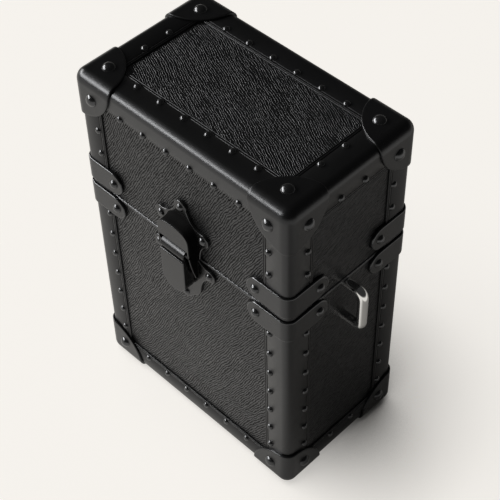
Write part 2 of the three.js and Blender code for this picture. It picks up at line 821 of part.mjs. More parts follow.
// Trays: heights follow down from the rim of the base.
const trayX = halfWidth - roomInset - trayClearance;
const trayY = halfDepth - roomInset - trayClearance;
const upperTrayTop = baseTop - trayRimDrop;
const upperTrayBottom = upperTrayTop - upperTrayHeight;
const lowerTrayTop = upperTrayBottom - trayStackGap;
const lowerTrayBottom = lowerTrayTop - lowerTrayHeight;
const ledgeTop = lowerTrayBottom - trayStackGap;
const bayX = trayX - trayWall;
const bayY = trayY - trayWall;
const ringBayEnd = -bayX + ringBayWidth;

// An open box cut with bays, each given by its two corners in x and y.
function trayBox(bottom, top, bays) {
  const box = block([-trayX, -trayY, bottom], [trayX, trayY, top]);
  return bays.reduce(
    (tray, [x0, y0, x1, y1]) =>
      tray.subtract(block([x0, y0, bottom + trayWall], [x1, y1, top + overrun])),
    box,
  );
}

function addUpperTray() {
  const web = trayDivider / 2;
  const gridStart = ringBayEnd + trayDivider;
  const gridMiddle = (gridStart + bayX) / 2;
  const bays = [[-bayX, -bayY, ringBayEnd, bayY]];
  for (const [x0, x1] of [
    [gridStart, gridMiddle - web],
    [gridMiddle + web, bayX],
  ]) {
    bays.push([x0, -bayY, x1, -web], [x0, web, x1, bayY]);
  }
  const tabs = ["left", "right"].map((name) => {
    const side = name === "left" ? -1 : 1;
    const x = side * (bayX - seatGap);
    return { name: `upper_tray_tab_${name}`, ...pullTab(x, directionOf(-side, 0, 0)) };
  });
  const box = trayBox(upperTrayBottom, upperTrayTop, bays);
  const tray = tabs.reduce((solid, tab) => solid.subtract(tab.slot), box);
  addPiece(upperTray, "upper_tray", tray, "suede");
  for (const { name, solid } of tabs) addPiece(upperTray, name, solid, "smoothLeather");
}

// A leather tab with a round top on the inner face of an end wall, and the slot that a divider
// leaves for it.
function pullTab(x, inward) {
  const round = tabWidth / 2;
  const foot = upperTrayTop - tabHeight;
  const shape = new THREE.Shape();
  shape.moveTo(-round, 0);
  shape.lineTo(round, 0);
  shape.lineTo(round, tabHeight + tabRise - round);
  shape.absarc(0, tabHeight + tabRise - round, round, 0, Math.PI, false);
  const solid = prism(shape, tabThick, [x, 0, foot], back, up, inward);
  const slot = block(
    [x, -round - seatGap, foot - seatGap],
    [x + inward.x * (tabThick + seatGap), round + seatGap, upperTrayTop + overrun],
  );
  return { solid, slot };
}

function addLowerTray() {
  const web = trayDivider / 2;
  const bays = [
    [-bayX, -bayY, -lowerTrayBaySplit - web, bayY],
    [-lowerTrayBaySplit + web, -bayY, bayX, -web],
    [-lowerTrayBaySplit + web, web, bayX, bayY],
  ];
  const holes = [
    [-1, 0],
    [1, -bayY / 2],
    [1, bayY / 2],
  ].map(([side, y]) => fingerHole(side, y));
  const tray = trayBox(lowerTrayBottom, lowerTrayTop, bays).subtract(union(holes));
  addPiece(lowerTray, "lower_tray", tray, "suede");
}

// A round-ended hole through an end wall of the lower tray, for a finger.
function fingerHole(side, y) {
  const radius = fingerHoleHeight / 2;
  const straight = fingerHoleWidth / 2 - radius;
  const shape = new THREE.Shape();
  shape.absarc(straight, 0, radius, -Math.PI / 2, Math.PI / 2, false);
  shape.absarc(-straight, 0, radius, Math.PI / 2, (3 * Math.PI) / 2, false);
  const origin = [side * (trayX + overrun), y, lowerTrayTop - fingerHoleDrop - radius];
  return prism(shape, trayWall + 2 * overrun, origin, back, up, directionOf(-side, 0, 0));
}

function addLedges() {
  const x = halfWidth - roomInset - seatGap;
  const end = halfDepth - roomInset - ledgeEndGap;
  for (const [name, side] of [["left", -1], ["right", 1]]) {
    const ledge = block(
      [side * x, -end, ledgeTop - ledgeHeight],
      [side * (x - ledgeReach), end, ledgeTop],
    );
    addPiece(base, `tray_ledge_${name}`, ledge, "board");
  }
}

// A padded form over a rectangle, counted in columns and rows: its top follows a height function of
// two shares from -1 to 1, and its sides draw in towards the flat bottom.
function paddedForm({ halfX, halfY, bottom, columns, rows, heightAt, drawIn }) {
  const positions = [];
  for (const layer of [0, 1]) {
    for (let i = 0; i <= columns; i += 1) {
      for (let j = 0; j <= rows; j += 1) {
        const u = (2 * i) / columns - 1;
        const v = (2 * j) / rows - 1;
        const pinch = layer === 0 ? drawIn : 0;
        const height = layer === 0 ? 0 : heightAt(u, v);
        positions.push(u * (halfX - pinch), v * (halfY - pinch), bottom + height);
      }
    }
  }
  const geometry = new THREE.BufferGeometry();
  geometry.setAttribute("position", new THREE.Float32BufferAttribute(positions, 3));
  geometry.setIndex(paddedFaces(columns, rows));
  return geometry;
}

// The faces of a padded form: its bottom, its top and the wall between their edges.
function paddedFaces(columns, rows) {
  const spot = (i, j, layer) => (layer * (columns + 1) + i) * (rows + 1) + j;
  const index = [];
  const addQuad = (a, b, c, d) => index.push(a, b, c, a, c, d);
  for (let i = 0; i < columns; i += 1) {
    for (let j = 0; j < rows; j += 1) {
      addQuad(spot(i, j, 0), spot(i, j + 1, 0), spot(i + 1, j + 1, 0), spot(i + 1, j, 0));
      addQuad(spot(i, j, 1), spot(i + 1, j, 1), spot(i + 1, j + 1, 1), spot(i, j + 1, 1));
    }
  }
  const edge = [];
  for (let i = 0; i < columns; i += 1) edge.push([i, 0]);
  for (let j = 0; j < rows; j += 1) edge.push([columns, j]);
  for (let i = columns; i > 0; i -= 1) edge.push([i, rows]);
  for (let j = rows; j > 0; j -= 1) edge.push([0, j]);
  edge.forEach(([i, j], k) => {
    const [m, n] = edge[(k + 1) % edge.length];
    addQuad(spot(i, j, 0), spot(m, n, 0), spot(m, n, 1), spot(i, j, 1));
  });
  return index;
}

// Rolls side by side that hold rings between them, fallen away at both ends.
function addRingCushion() {
  const left = seatGap + tabThick + cushionClearance - bayX;
  const right = ringBayEnd - cushionClearance;
  const foot = upperTrayHeight - trayWall - cushionSink - cushionCrown;
  const heightAt = (u, v) => {
    const roll = Math.abs(Math.sin(((v + 1) / 2) * Math.PI * cushionRollCount));
    return foot + cushionCrown * Math.sqrt(roll) * (1 - edgeHeightShare * Math.abs(u) ** crownPower);
  };
  const form = paddedForm({
    halfX: (right - left) / 2,
    halfY: bayY - cushionClearance,
    bottom: upperTrayBottom + trayWall + seatGap,
    columns: cushionSteps,
    rows: cushionSteps * cushionRollCount,
    heightAt,
    drawIn: cushionClearance,
  });
  const place = new THREE.Matrix4().setPosition((left + right) / 2, 0, 0);
  addPiece(upperTray, "ring_cushion", solidOf(form, place), "velvet");
}

function addWellPad() {
  const heightAt = (u, v) => {
    const crown = (1 - Math.abs(u) ** crownPower) * (1 - Math.abs(v) ** crownPower);
    return padThick - padCrown + padCrown * crown;
  };
  const form = paddedForm({
    halfX: halfWidth - roomInset - padClearance,
    halfY: halfDepth - roomInset - padClearance,
    bottom: wellFloor + seatGap,
    columns: 2 * cushionSteps,
    rows: 2 * cushionSteps,
    heightAt,
    drawIn: padClearance,
  });
  addPiece(base, "well_pad", solidOf(form), "velvet");
}

function addMirror() {
  const outX = halfWidth - roomInset - mirrorMarginX;
  const outY = halfDepth - roomInset - mirrorMarginY;
  const x = outX - mirrorFrameWidth;
  const y = outY - mirrorFrameWidth;
  const top = lidCeiling - seatGap;
  const mirror = block([-x, -y, top - mirrorThick], [x, y, top]);
  addPiece(lid, "mirror", mirror, "mirror");
  const lipX = x - mirrorLip;
  const lipY = y - mirrorLip;
  const seatLevel = top - mirrorThick - seatGap;
  const low = seatLevel - mirrorLipThick;
  const frame = block([-outX, -outY, low], [outX, outY, top])
    .subtract(block([-lipX, -lipY, low - overrun], [lipX, lipY, cutLength]))
    .subtract(
      block(
        [-x - seatGap, -y - seatGap, seatLevel],
        [x + seatGap, y + seatGap, cutLength],
      ),
    );
  addPiece(lid, "mirror_frame", frame, "blackMetal");
}

addShells();
addBindings();
addUpperPlate();
addLowerPlate();
addFlap();
addHandle("handle_left", -1);
addHandle("handle_right", 1);
addHinge();
addUpperTray();
addLowerTray();
addLedges();
addRingCushion();
addWellPad();
addMirror();

export default trunk;
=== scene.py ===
"""Looks of an upright jewellery trunk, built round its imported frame.

Black grained leather over board, smooth leather strips, caps and bands with domed nails and rivets,
a black front clasp, bright side handles, and two lined trays inside. Lengths are millimetres about the
middle of the case until a mesh is made, and metres from there on. Lengths in a finish are metres.
"""

import logging
import math
from dataclasses import dataclass, field
from enum import Enum
from typing import Callable, Iterable, Sequence

import bmesh
import bpy
import numpy as np
from mathutils import Matrix, Vector


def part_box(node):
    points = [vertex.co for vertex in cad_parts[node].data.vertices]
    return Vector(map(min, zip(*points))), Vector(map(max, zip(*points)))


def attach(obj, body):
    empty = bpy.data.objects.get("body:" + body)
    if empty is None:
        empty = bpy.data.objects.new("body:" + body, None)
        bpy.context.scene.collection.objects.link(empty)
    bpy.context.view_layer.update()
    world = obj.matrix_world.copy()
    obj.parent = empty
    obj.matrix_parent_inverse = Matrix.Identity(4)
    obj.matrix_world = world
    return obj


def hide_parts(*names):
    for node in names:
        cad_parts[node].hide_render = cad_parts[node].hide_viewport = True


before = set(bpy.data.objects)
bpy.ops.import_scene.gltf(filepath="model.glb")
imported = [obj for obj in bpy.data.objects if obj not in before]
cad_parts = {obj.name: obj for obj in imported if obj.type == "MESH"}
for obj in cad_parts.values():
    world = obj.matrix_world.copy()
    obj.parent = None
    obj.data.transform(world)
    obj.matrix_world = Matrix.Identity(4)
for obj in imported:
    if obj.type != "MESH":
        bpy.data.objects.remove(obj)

log = logging.getLogger("trunk")

Array = np.ndarray
Socket = bpy.types.NodeSocket

MM = 0.001

# Points of a mesh merge within the first of these, in metres, and points of a path within the second
MERGE_DISTANCE = 2e-6
TOUCHING = 1e-4

# What a vector's length is kept above before it divides
TINY = 1e-6

# The angles in degrees past which an edge stays sharp, is rounded, and is kept at all
SMOOTH_ANGLE = 38.0
BEVEL_ANGLE = 28.0
FLAT_ANGLE = 1.0

# Attributes of a mesh. The recess is above 0 in hollows and pressed lines, where the clasp's hollows take a
# painted shade, and below 0 on burnished edges
GRAIN_UV = "grain"
GRAIN_AMOUNT = "grain_amount"
RECESS = "recess"

# The hide's turn in degrees and its grain's strength, on faces that look along x, y and z
FLOW_DEGREES = (25.0, 60.0, -23.0)
FACE_AMOUNT = (1.2, 1.25, 0.66)

# Leather walls end at the foot below the strips' face, and undersides lie a little lower
LEATHER_FOOT = -1.08
UNDERSIDE_DROP = 0.02

# A plate's rounding is burnished down to this depth, and its face starts one step inside the rounding
BURNISHED_DEPTH = 0.6
FACE_STEP = 0.12

# The tint of the light that leather and lacquer throw back
COOL = (0.93, 0.955, 1.0, 1.0)

# A Mix node's sockets for two colours
MIX_SHARE, MIX_FIRST, MIX_SECOND, MIX_RESULT = 0, 6, 7, 2


class Slot(Enum):
    """The record's material slots."""

    GRAINED = "grained_leather"
    SMOOTH = "smooth_leather"
    BLACK = "black_metal"
    CHROME = "chrome"
    BOARD = "board"
    SUEDE = "suede"
    VELVET = "velvet"
    MIRROR = "mirror"


class Body(Enum):
    """The bodies of the frame that pieces ride on."""

    BASE = "base"
    LID = "lid"
    FLAP = "flap"
    LOWER_TRAY = "lower_tray"
    UPPER_TRAY = "upper_tray"


# Names with their signs along x and y, and the two halves with their direction from the split
CORNERS = (("front_left", -1, -1), ("front_right", 1, -1), ("back_right", 1, 1), ("back_left", -1, 1))
SIDES = (("front", 0, -1), ("right", 1, 0), ("back", 0, 1), ("left", -1, 0))
HALVES = (("base", Body.BASE, -1), ("lid", Body.LID, 1))


@dataclass(frozen=True)
class Case:
    """The case's outer faces over its strips, in millimetres, read from the frame."""

    half_x: float
    half_y: float
    middle_y: float
    low: float
    top: float
    split: float
    base_top: float
    lid_bottom: float
    strip_thick: float = 1.2
    edge_round: float = 7.0

    @classmethod
    def read(cls) -> "Case":
        """Works the case out from the boxes of the two covers, which lie one strip inside it.

        Returns:
            The case's sizes.
        """
        base_low, base_high = (np.array(corner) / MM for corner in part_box("base_cover"))
        lid_low, lid_high = (np.array(corner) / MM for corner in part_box("lid_cover"))
        thick = cls.strip_thick
        return cls(
            half_x=(base_high[0] - base_low[0]) / 2 + thick,
            half_y=(base_high[1] - base_low[1]) / 2 + thick,
            middle_y=(base_high[1] + base_low[1]) / 2,
            low=base_low[2] - thick,
            top=lid_high[2] + thick,
            split=(base_high[2] + lid_low[2]) / 2,
            base_top=base_high[2],
            lid_bottom=lid_low[2],
        )

    def corner(self, x: int, y: int, up: int) -> Array:
        """The sharp corner at signs along x and y, or an edge's middle if one is 0, above or below."""
        return np.array([x * self.half_x, y * self.half_y, self.top if up > 0 else self.low])


case = Case.read()


# Node materials


def opaque(colour: object) -> object:
    """A colour with its fourth number, or the socket that was given in its place."""
    return colour if isinstance(colour, Socket) else (*colour, 1.0)


class Nodes:
    """The node tree of a material or a world, filled by short calls."""

    def __init__(self, owner: bpy.types.ID, shader: str = "Principled BSDF") -> None:
        """Turns the owner's nodes on.

        Args:
            owner: The material or the world.
            shader: The name of the node that finish sets.
        """
        owner.use_nodes = True
        self.owner = owner
        self.tree = owner.node_tree
        self.shader = self.tree.nodes[shader]

    @classmethod
    def of_material(cls, name: str) -> "Nodes":
        """The nodes of a new material with a Principled shader."""
        return cls(bpy.data.materials.new(name))

    def put(self, value: object, socket: Socket) -> None:
        """Links a value to a socket if it is a socket too, and sets it there otherwise."""
        if isinstance(value, Socket):
            self.tree.links.new(value, socket)
        else:
            socket.default_value = value

    def add(self, kind: str, **settings: object) -> bpy.types.Node:
        """Adds a node and sets its properties and the values of its inputs.

        Args:
            kind: The node's type without its ShaderNode prefix.
            settings: Properties by name. Inputs go in one dict under the name inputs.

        Returns:
            The node.
        """
        node = self.tree.nodes.new("ShaderNode" + kind)
        inputs = settings.pop("inputs", {})
        for name, value in settings.items():
            setattr(node, name, value)
        for name, value in inputs.items():
            self.put(value, node.inputs[name])
        return node

    def math(self, operation: str, a: object, b: object = 0.0, clamp: bool = False) -> Socket:
        """The value of a Math node on two numbers or sockets."""
        return self.add("Math", operation=operation, use_clamp=clamp, inputs={0: a, 1: b}).outputs[0]

    def around(self, share: Socket, middle: float, change: float) -> Socket:
        """A number that a share from 0 to 1 moves about its middle, by half the change each way."""
        return self.math("ADD", self.math("MULTIPLY", share, change), middle - change / 2)

    def ramp(self, value: Socket, low: float, high: float, to: tuple = (0.0, 1.0)) -> Socket:
        """A smooth step of a value from low to high, mapped to the range to."""
        span = {"Value": value, "From Min": low, "From Max": high, "To Min": to[0], "To Max": to[1]}
        return self.add("MapRange", interpolation_type="SMOOTHSTEP", inputs=span).outputs["Result"]

    def noise(self, place: Socket, size: float, detail: float = 2.0, rough: float = 0.5) -> Socket:
        """The value of a noise texture whose clouds have a size."""
        looks = {"Scale": 1 / size, "Detail": detail, "Roughness": rough}
        return self.add("TexNoise", inputs={"Vector": place, **looks}).outputs["Fac"]

    def place(self) -> Socket:
        """The place on the piece in the frame's metres."""
        return self.add("TexCoord").outputs["Object"]

    def attribute(self, name: str) -> Socket:
        """The number that a mesh holds under a name, which is 0 where it holds none."""
        return self.add("Attribute", attribute_name=name).outputs["Fac"]

    def mix_colour(self, share: object, a: object, b: object) -> Socket:
        """A colour between two colours by a share."""
        inputs = {MIX_SHARE: share, MIX_FIRST: opaque(a), MIX_SECOND: opaque(b)}
        return self.add("Mix", data_type="RGBA", inputs=inputs).outputs[MIX_RESULT]

    def bump(self, height: Socket, depth: float, below: Socket | None = None) -> Socket:
        """A normal bumped by a height.

        Args:
            height: The height from 0 to 1.
            depth: What a height of 1 stands for, in metres.
            below: Another bump's normal under this one.

        Returns:
            The normal.
        """
        inputs = {"Height": height, "Distance": depth, "Strength": 1.0}
        if below is not None:
            inputs["Normal"] = below
        return self.add("Bump", inputs=inputs).outputs["Normal"]

    def finish(self, **sockets: object) -> bpy.types.ID:
        """Sets or links the shader's sockets, whose names are written with _ for a blank.

        Args:
            sockets: Values or sockets by name.

        Returns:
            The material or world.
        """
        for name, value in sockets.items():
            self.put(value, self.shader.inputs[name.replace("_", " ")])
        return self.owner


@dataclass(frozen=True)
class GrainedLeather:
    """Black leather with long wavy wrinkles, dressed by the grain map and the grain amount."""

    slot: Slot = Slot.GRAINED
    hide: tuple = (0.0036, 0.0036, 0.0037)
    valley: tuple = (0.0018, 0.0018, 0.0019)
    wave_size: float = 0.030
    wave_reach: float = 0.0030
    wrinkle_pitch: float = 0.0016
    wrinkle_length: float = 0.0066
    wrinkle_run: float = 0.0024
    wrinkle_shift: float = 1.7
    wrinkle_split: float = 0.55
    wrinkle_rise: tuple = (-0.9, 0.5)
    wrinkle_depth: float = 0.00042
    patch_size: float = 0.016
    patch_rise: tuple = (0.3, 0.7)
    patch_least: float = 0.55
    pore_size: float = 0.00055
    pore_depth: float = 0.00004
    wear_size: float = 0.03
    roughness: float = 0.34
    roughness_change: float = 0.10
    valley_roughness: float = 0.16
    valley_shine: float = 0.24
    crest_shine: float = 0.42
    recess_shine: float = 0.5

    def material(self) -> bpy.types.Material:
        """Makes the material: ridges along the hide's flow, which a drawn-out noise shifts and splits.

        Returns:
            The material.
        """
        nodes = Nodes.of_material(self.slot.value)
        flat = nodes.add("UVMap", uv_map=GRAIN_UV).outputs["UV"]
        bent = self._bend(nodes, flat)
        stretch = (1 / self.wrinkle_length, 1 / self.wrinkle_run, 1.0)
        drawn = nodes.add("VectorMath", operation="MULTIPLY", inputs={0: bent, 1: stretch}).outputs[0]
        split = nodes.noise(drawn, size=1.0, rough=self.wrinkle_split)
        shift = nodes.math("MULTIPLY", split, self.wrinkle_shift)
        across = nodes.add("SeparateXYZ", inputs={0: bent}).outputs["Y"]
        phase = nodes.math("ADD", nodes.math("DIVIDE", across, self.wrinkle_pitch), shift)
        wave = nodes.math("SINE", nodes.math("MULTIPLY", phase, 2 * math.pi))
        pebble = nodes.ramp(wave, *self.wrinkle_rise)
        cloud = nodes.noise(flat, self.patch_size, detail=1.0)
        patch = nodes.ramp(cloud, *self.patch_rise, (self.patch_least, 1.0))
        amount = nodes.attribute(GRAIN_AMOUNT)
        height = nodes.math("MULTIPLY", nodes.math("MULTIPLY", pebble, patch), amount)
        normal = nodes.bump(nodes.noise(nodes.place(), self.pore_size), self.pore_depth)
        normal = nodes.bump(height, self.wrinkle_depth, normal)
        low = nodes.math("MULTIPLY", nodes.math("SUBTRACT", 1.0, pebble), amount)
        depth = nodes.math("SUBTRACT", 1.0, low)
        wear = nodes.noise(nodes.place(), self.wear_size, detail=3.0)
        rough = nodes.around(wear, self.roughness, self.roughness_change)
        rough = nodes.math("ADD", rough, self.valley_roughness)
        rough = nodes.math("SUBTRACT", rough, nodes.math("MULTIPLY", depth, self.valley_roughness))
        shine = nodes.math("ADD", self.valley_shine, nodes.math("MULTIPLY", depth, self.crest_shine))
        dulled = nodes.math("MULTIPLY", nodes.attribute(RECESS), self.recess_shine)
        return nodes.finish(
            Base_Color=nodes.mix_colour(depth, self.valley, self.hide),
            Roughness=rough,
            Normal=normal,
            Specular_IOR_Level=nodes.math("SUBTRACT", shine, dulled, clamp=True),
            Specular_Tint=COOL,
        )

    def _bend(self, nodes: Nodes, place: Socket) -> Socket:
        """A place shifted by a noise of the wave's size, up to half its reach each way.

        Args:
            nodes: The material's nodes.
            place: The place.

        Returns:
            The shifted place.
        """
        noise = nodes.add("TexNoise", inputs={"Vector": place, "Scale": 1 / self.wave_size, "Detail": 1.0})
        centre = {0: noise.outputs["Color"], 1: (0.5, 0.5, 0.5)}
        centred = nodes.add("VectorMath", operation="SUBTRACT", inputs=centre)
        reach = {0: centred.outputs[0], "Scale": self.wave_reach * 2}
        scaled = nodes.add("VectorMath", operation="SCALE", inputs=reach)
        return nodes.add("VectorMath", operation="ADD", inputs={0: place, 1: scaled.outputs[0]}).outputs[0]


@dataclass(frozen=True)
class SmoothLeather:
    """Smooth black binding leather with fine pores and faint creases."""

    slot: Slot = Slot.SMOOTH
    hide: tuple = (0.0036, 0.0036, 0.0037)
    dull: tuple = (0.0032, 0.0032, 0.0033)
    pore_size: float = 0.0007
    pore_depth: float = 0.00003
    crease_size: float = 0.006
    crease_depth: float = 0.00006
    cloud_size: float = 0.025
    roughness: float = 0.30
    roughness_change: float = 0.14
    recess_roughness: float = 0.08
    shine: float = 0.52
    recess_shine: float = 0.45

    def material(self) -> bpy.types.Material:
        """Makes the material from pores, soft creases and a cloudy roughness.

        A pressed line, with a mark above 0, is dull. A burnished cut edge, with one below 0, shines more.

        Returns:
            The material.
        """
        nodes = Nodes.of_material(self.slot.value)
        place = nodes.place()
        creases = nodes.noise(place, self.crease_size, detail=3.0, rough=0.55)
        pores = nodes.noise(place, self.pore_size, detail=3.0, rough=0.6)
        normal = nodes.bump(pores, self.pore_depth, nodes.bump(creases, self.crease_depth))
        cloud = nodes.noise(place, self.cloud_size, detail=3.0)
        rough = nodes.around(cloud, self.roughness, self.roughness_change)
        recess = nodes.attribute(RECESS)
        dulled = nodes.math("MULTIPLY", recess, self.recess_shine)
        return nodes.finish(
            Base_Color=nodes.mix_colour(cloud, self.dull, self.hide),
            Roughness=nodes.math("ADD", rough, nodes.math("MULTIPLY", recess, self.recess_roughness)),
            Normal=normal,
            Specular_IOR_Level=nodes.math("SUBTRACT", self.shine, dulled, clamp=True),
            Specular_Tint=COOL,
        )


@dataclass(frozen=True)
class BlackMetal:
    """Black stoved lacquer on metal, a little uneven, for nails, rivets, clasp and hinge."""

    name: str
    lacquer: tuple
    thin: tuple
    roughness: float
    shine: float
    slot: Slot = Slot.BLACK
    roughness_change: float = 0.10
    peel_size: float = 0.0018
    peel_depth: float = 0.00002
    cloud_size: float = 0.012
    # A clasp's hollows can take a painted shade: darker lacquer in the colour below, with more roughness and
    # less shine
    paints_hollow_shade: bool = False
    hollow_shade_colour: tuple = (0.004, 0.004, 0.004)
    recess_roughness: float = 0.6
    recess_shine: float = 0.9

    def material(self) -> bpy.types.Material:
        """Makes the material from a lacquer's orange peel and a cloudy roughness.

        Where it paints hollow shade, the hollows are painted darker as shade and made rougher and duller,
        and burnished edges shine more.

        Returns:
            The material.
        """
        nodes = Nodes.of_material(self.name)
        place = nodes.place()
        cloud = nodes.noise(place, self.cloud_size, detail=3.0)
        colour = nodes.mix_colour(cloud, self.thin, self.lacquer)
        rough = nodes.around(cloud, self.roughness, self.roughness_change)
        shine = self.shine
        if self.paints_hollow_shade:
            recess = nodes.attribute(RECESS)
            # Painted shade: where the marks are above 0, the lacquer darkens towards the shade colour and
            # gets rougher
            dull = nodes.math("MAXIMUM", recess, 0.0)
            colour = nodes.mix_colour(dull, colour, self.hollow_shade_colour)
            rough = nodes.math("ADD", rough, nodes.math("MULTIPLY", dull, self.recess_roughness), clamp=True)
            left = nodes.math("SUBTRACT", 1.0, nodes.math("MULTIPLY", recess, self.recess_shine))
            shine = nodes.math("MULTIPLY", left, self.shine)
        return nodes.finish(
            Base_Color=colour,
            Roughness=rough,
            Normal=nodes.bump(nodes.noise(place, self.peel_size), self.peel_depth),
            Specular_IOR_Level=shine,
            Specular_Tint=COOL,
        )


@dataclass(frozen=True)
class BrightMetal:
    """Polished metal, bare or silvered on glass, with faint smears."""

    slot: Slot
    plate: tuple
    smeared: float
    smear_size: float
    smear_detail: float
    smear_rough: float
    roughness: float
    roughness_change: float

    def material(self) -> bpy.types.Material:
        """Makes the material from a bright metal, which smears dim and roughen a little.

        Returns:
            The material.
        """
        nodes = Nodes.of_material(self.slot.value)
        smear = nodes.noise(nodes.place(), self.smear_size, self.smear_detail, self.smear_rough)
        return nodes.finish(
            Base_Color=nodes.mix_colour(smear, tuple(self.smeared * c for c in self.plate), self.plate),
            Roughness=nodes.around(smear, self.roughness, self.roughness_change),
            Metallic=1.0,
        )


@dataclass(frozen=True)
class Board:
    """Plywood board with a fine long grain."""

    slot: Slot = Slot.BOARD
    light: tuple = (0.30, 0.19, 0.10)
    dark: tuple = (0.20, 0.12, 0.06)
    stretch: tuple = (1.0, 1.0, 0.06)
    fibre_size: float = 1 / 900
    fibre_depth: float = 0.0001
    roughness: float = 0.72

    def material(self) -> bpy.types.Material:
        """Makes the material from a noise drawn out along the height.

        Returns:
            The material.
        """
        nodes = Nodes.of_material(self.slot.value)
        drawing = {0: nodes.place(), 1: self.stretch}
        drawn = nodes.add("VectorMath", operation="MULTIPLY", inputs=drawing).outputs[0]
        fibre = nodes.noise(drawn, self.fibre_size, detail=4.0, rough=0.65)
        colour = nodes.mix_colour(fibre, self.dark, self.light)
        normal = nodes.bump(fibre, self.fibre_depth)
        return nodes.finish(Base_Color=colour, Roughness=self.roughness, Normal=normal)


@dataclass(frozen=True)
class Nap:
    """A short dark nap of fine fibres with brushed patches, for linings, trays and cushions."""

    slot: Slot
    raised: tuple
    laid: tuple
    fibre_size: float
    fibre_detail: float
    fibre_depth: float
    patch_size: float
    patch_detail: float
    patch_rough: float
    patch_rise: tuple
    roughness: float
    shine: float
    sheen: float
    sheen_roughness: float

    def material(self) -> bpy.types.Material:
        """Makes the material from fine fibres, brushed patches and a sheen.

        Returns:
            The material.
        """
        nodes = Nodes.of_material(self.slot.value)
        place = nodes.place()
        fibre = nodes.noise(place, self.fibre_size, self.fibre_detail, rough=0.7)
        cloud = nodes.noise(place, self.patch_size, self.patch_detail, self.patch_rough)
        return nodes.finish(
            Base_Color=nodes.mix_colour(nodes.ramp(cloud, *self.patch_rise), self.laid, self.raised),
            Roughness=self.roughness,
            Normal=nodes.bump(fibre, self.fibre_depth),
            Specular_IOR_Level=self.shine,
            Sheen_Weight=self.sheen,
            Sheen_Roughness=self.sheen_roughness,
        )


Finish = GrainedLeather | SmoothLeather | BlackMetal | BrightMetal | Board | Nap

GRAINED = GrainedLeather()
SMOOTH = SmoothLeather()
BOARD = Board()
NAIL_BLACK = BlackMetal(
    name="black_nail",
    lacquer=(0.0080, 0.0079, 0.0078),
    thin=(0.0050, 0.0050, 0.0050),
    roughness=0.24,
    shine=1.0,
)
# The clasp's lacquer takes a painted shade in its hollows
CLASP_BLACK = BlackMetal(
    name="black_clasp",
    lacquer=(0.008, 0.008, 0.008),
    thin=(0.006, 0.006, 0.006),
    roughness=0.25,
    shine=0.42,
    paints_hollow_shade=True,
)
CHROME = BrightMetal(
    slot=Slot.CHROME,
    plate=(0.90, 0.90, 0.89),
    smeared=0.94,
    smear_size=0.004,
    smear_detail=4.0,
    smear_rough=0.6,
    roughness=0.08,
    roughness_change=0.08,
)
MIRROR = BrightMetal(
    slot=Slot.MIRROR,
    plate=(0.86, 0.87, 0.88),
    smeared=0.97,
    smear_size=0.02,
    smear_detail=3.0,
    smear_rough=0.5,
    roughness=0.015,
    roughness_change=0.03,
)
SUEDE = Nap(
    slot=Slot.SUEDE,
    raised=(0.052, 0.046, 0.043),
    laid=(0.034, 0.030, 0.028),
    fibre_size=0.0006,
    fibre_detail=4.0,
    fibre_depth=0.00016,
    patch_size=0.018,
    patch_detail=3.0,
    patch_rough=0.5,
    patch_rise=(0.35, 0.65),
    roughness=0.92,
    shine=0.2,
    sheen=0.25,
    sheen_roughness=0.5,
)
VELVET = Nap(
    slot=Slot.VELVET,
    raised=(0.030, 0.028, 0.027),
    laid=(0.018, 0.017, 0.017),
    fibre_size=0.0004,
    fibre_detail=3.0,
    fibre_depth=0.00012,
    patch_size=0.010,
    patch_detail=4.0,
    patch_rough=0.6,
    patch_rise=(0.4, 0.62),
    roughness=0.95,
    shine=0.15,
    sheen=0.6,
    sheen_roughness=0.35,
)

_made_materials: dict = {}


def material_of(finish: Finish) -> bpy.types.Material:
    """The one material of a finish, made at its first use."""
    if finish not in _made_materials:
        _made_materials[finish] = finish.material()
    return _made_materials[finish]


# Meshes worked out as whole arrays


def grid_faces(rows: int, columns: int, close_columns: bool = False) -> Array:
    """The four-sided faces between the points of a grid.

    Args:
        rows: Rows of points.
        columns: Points in a row.
        close_columns: True if the last column meets the first.

    Returns:
        An array of four point numbers a face.
    """
    i = np.arange(rows - 1)[:, None]
    j = np.arange(columns if close_columns else columns - 1)[None, :]
    ni, nj = i + 1, (j + 1) % columns
    corners = [i * columns + j, ni * columns + j, ni * columns + nj, i * columns + nj]
    return np.stack(corners, -1).reshape(-1, 4)


@dataclass
class Shape:
    """Points in millimetres, the faces between them and a mark a point from -1 to 1."""

    points: Array = field(default_factory=lambda: np.zeros((0, 3)))
    faces: list = field(default_factory=list)
    marks: Array | None = None

    def add(self, points: Array, faces: Iterable) -> "Shape":
        """Adds points and faces.

        Args:
            points: The points.
            faces: Point numbers of each face, which count from the first of these points.

        Returns:
            This shape.
        """
        start = len(self.points)
        self.points = np.concatenate([self.points, np.asarray(points, float).reshape(-1, 3)])
        self.faces += [[int(n) + start for n in face] for face in faces]
        return self

    def join(self, other: "Shape") -> "Shape":
        """Adds another shape, with its marks if either has any.

        Args:
            other: The other shape.

        Returns:
            This shape.
        """
        parts = (self, other)
        if any(part.marks is not None for part in parts):
            marks = [np.zeros(len(part.points)) if part.marks is None else part.marks for part in parts]
            self.marks = np.concatenate(marks)
        return self.add(other.points, other.faces)


def loft(rings: Array, cap_first: bool = True, cap_last: bool = True) -> Shape:
    """The closed skin through rings of as many points each, with a flat face over each end if asked.

    Args:
        rings: An array of rings by points by three.
        cap_first: True to close the first ring.
        cap_last: True to close the last ring.

    Returns:
        The shape.
    """
    count, size = rings.shape[:2]
    shape = Shape().add(rings, grid_faces(count, size, close_columns=True))
    if cap_first:
        shape.faces.append(list(range(size)))
    if cap_last:
        shape.faces.append([(count - 1) * size + n for n in reversed(range(size))])
    return shape


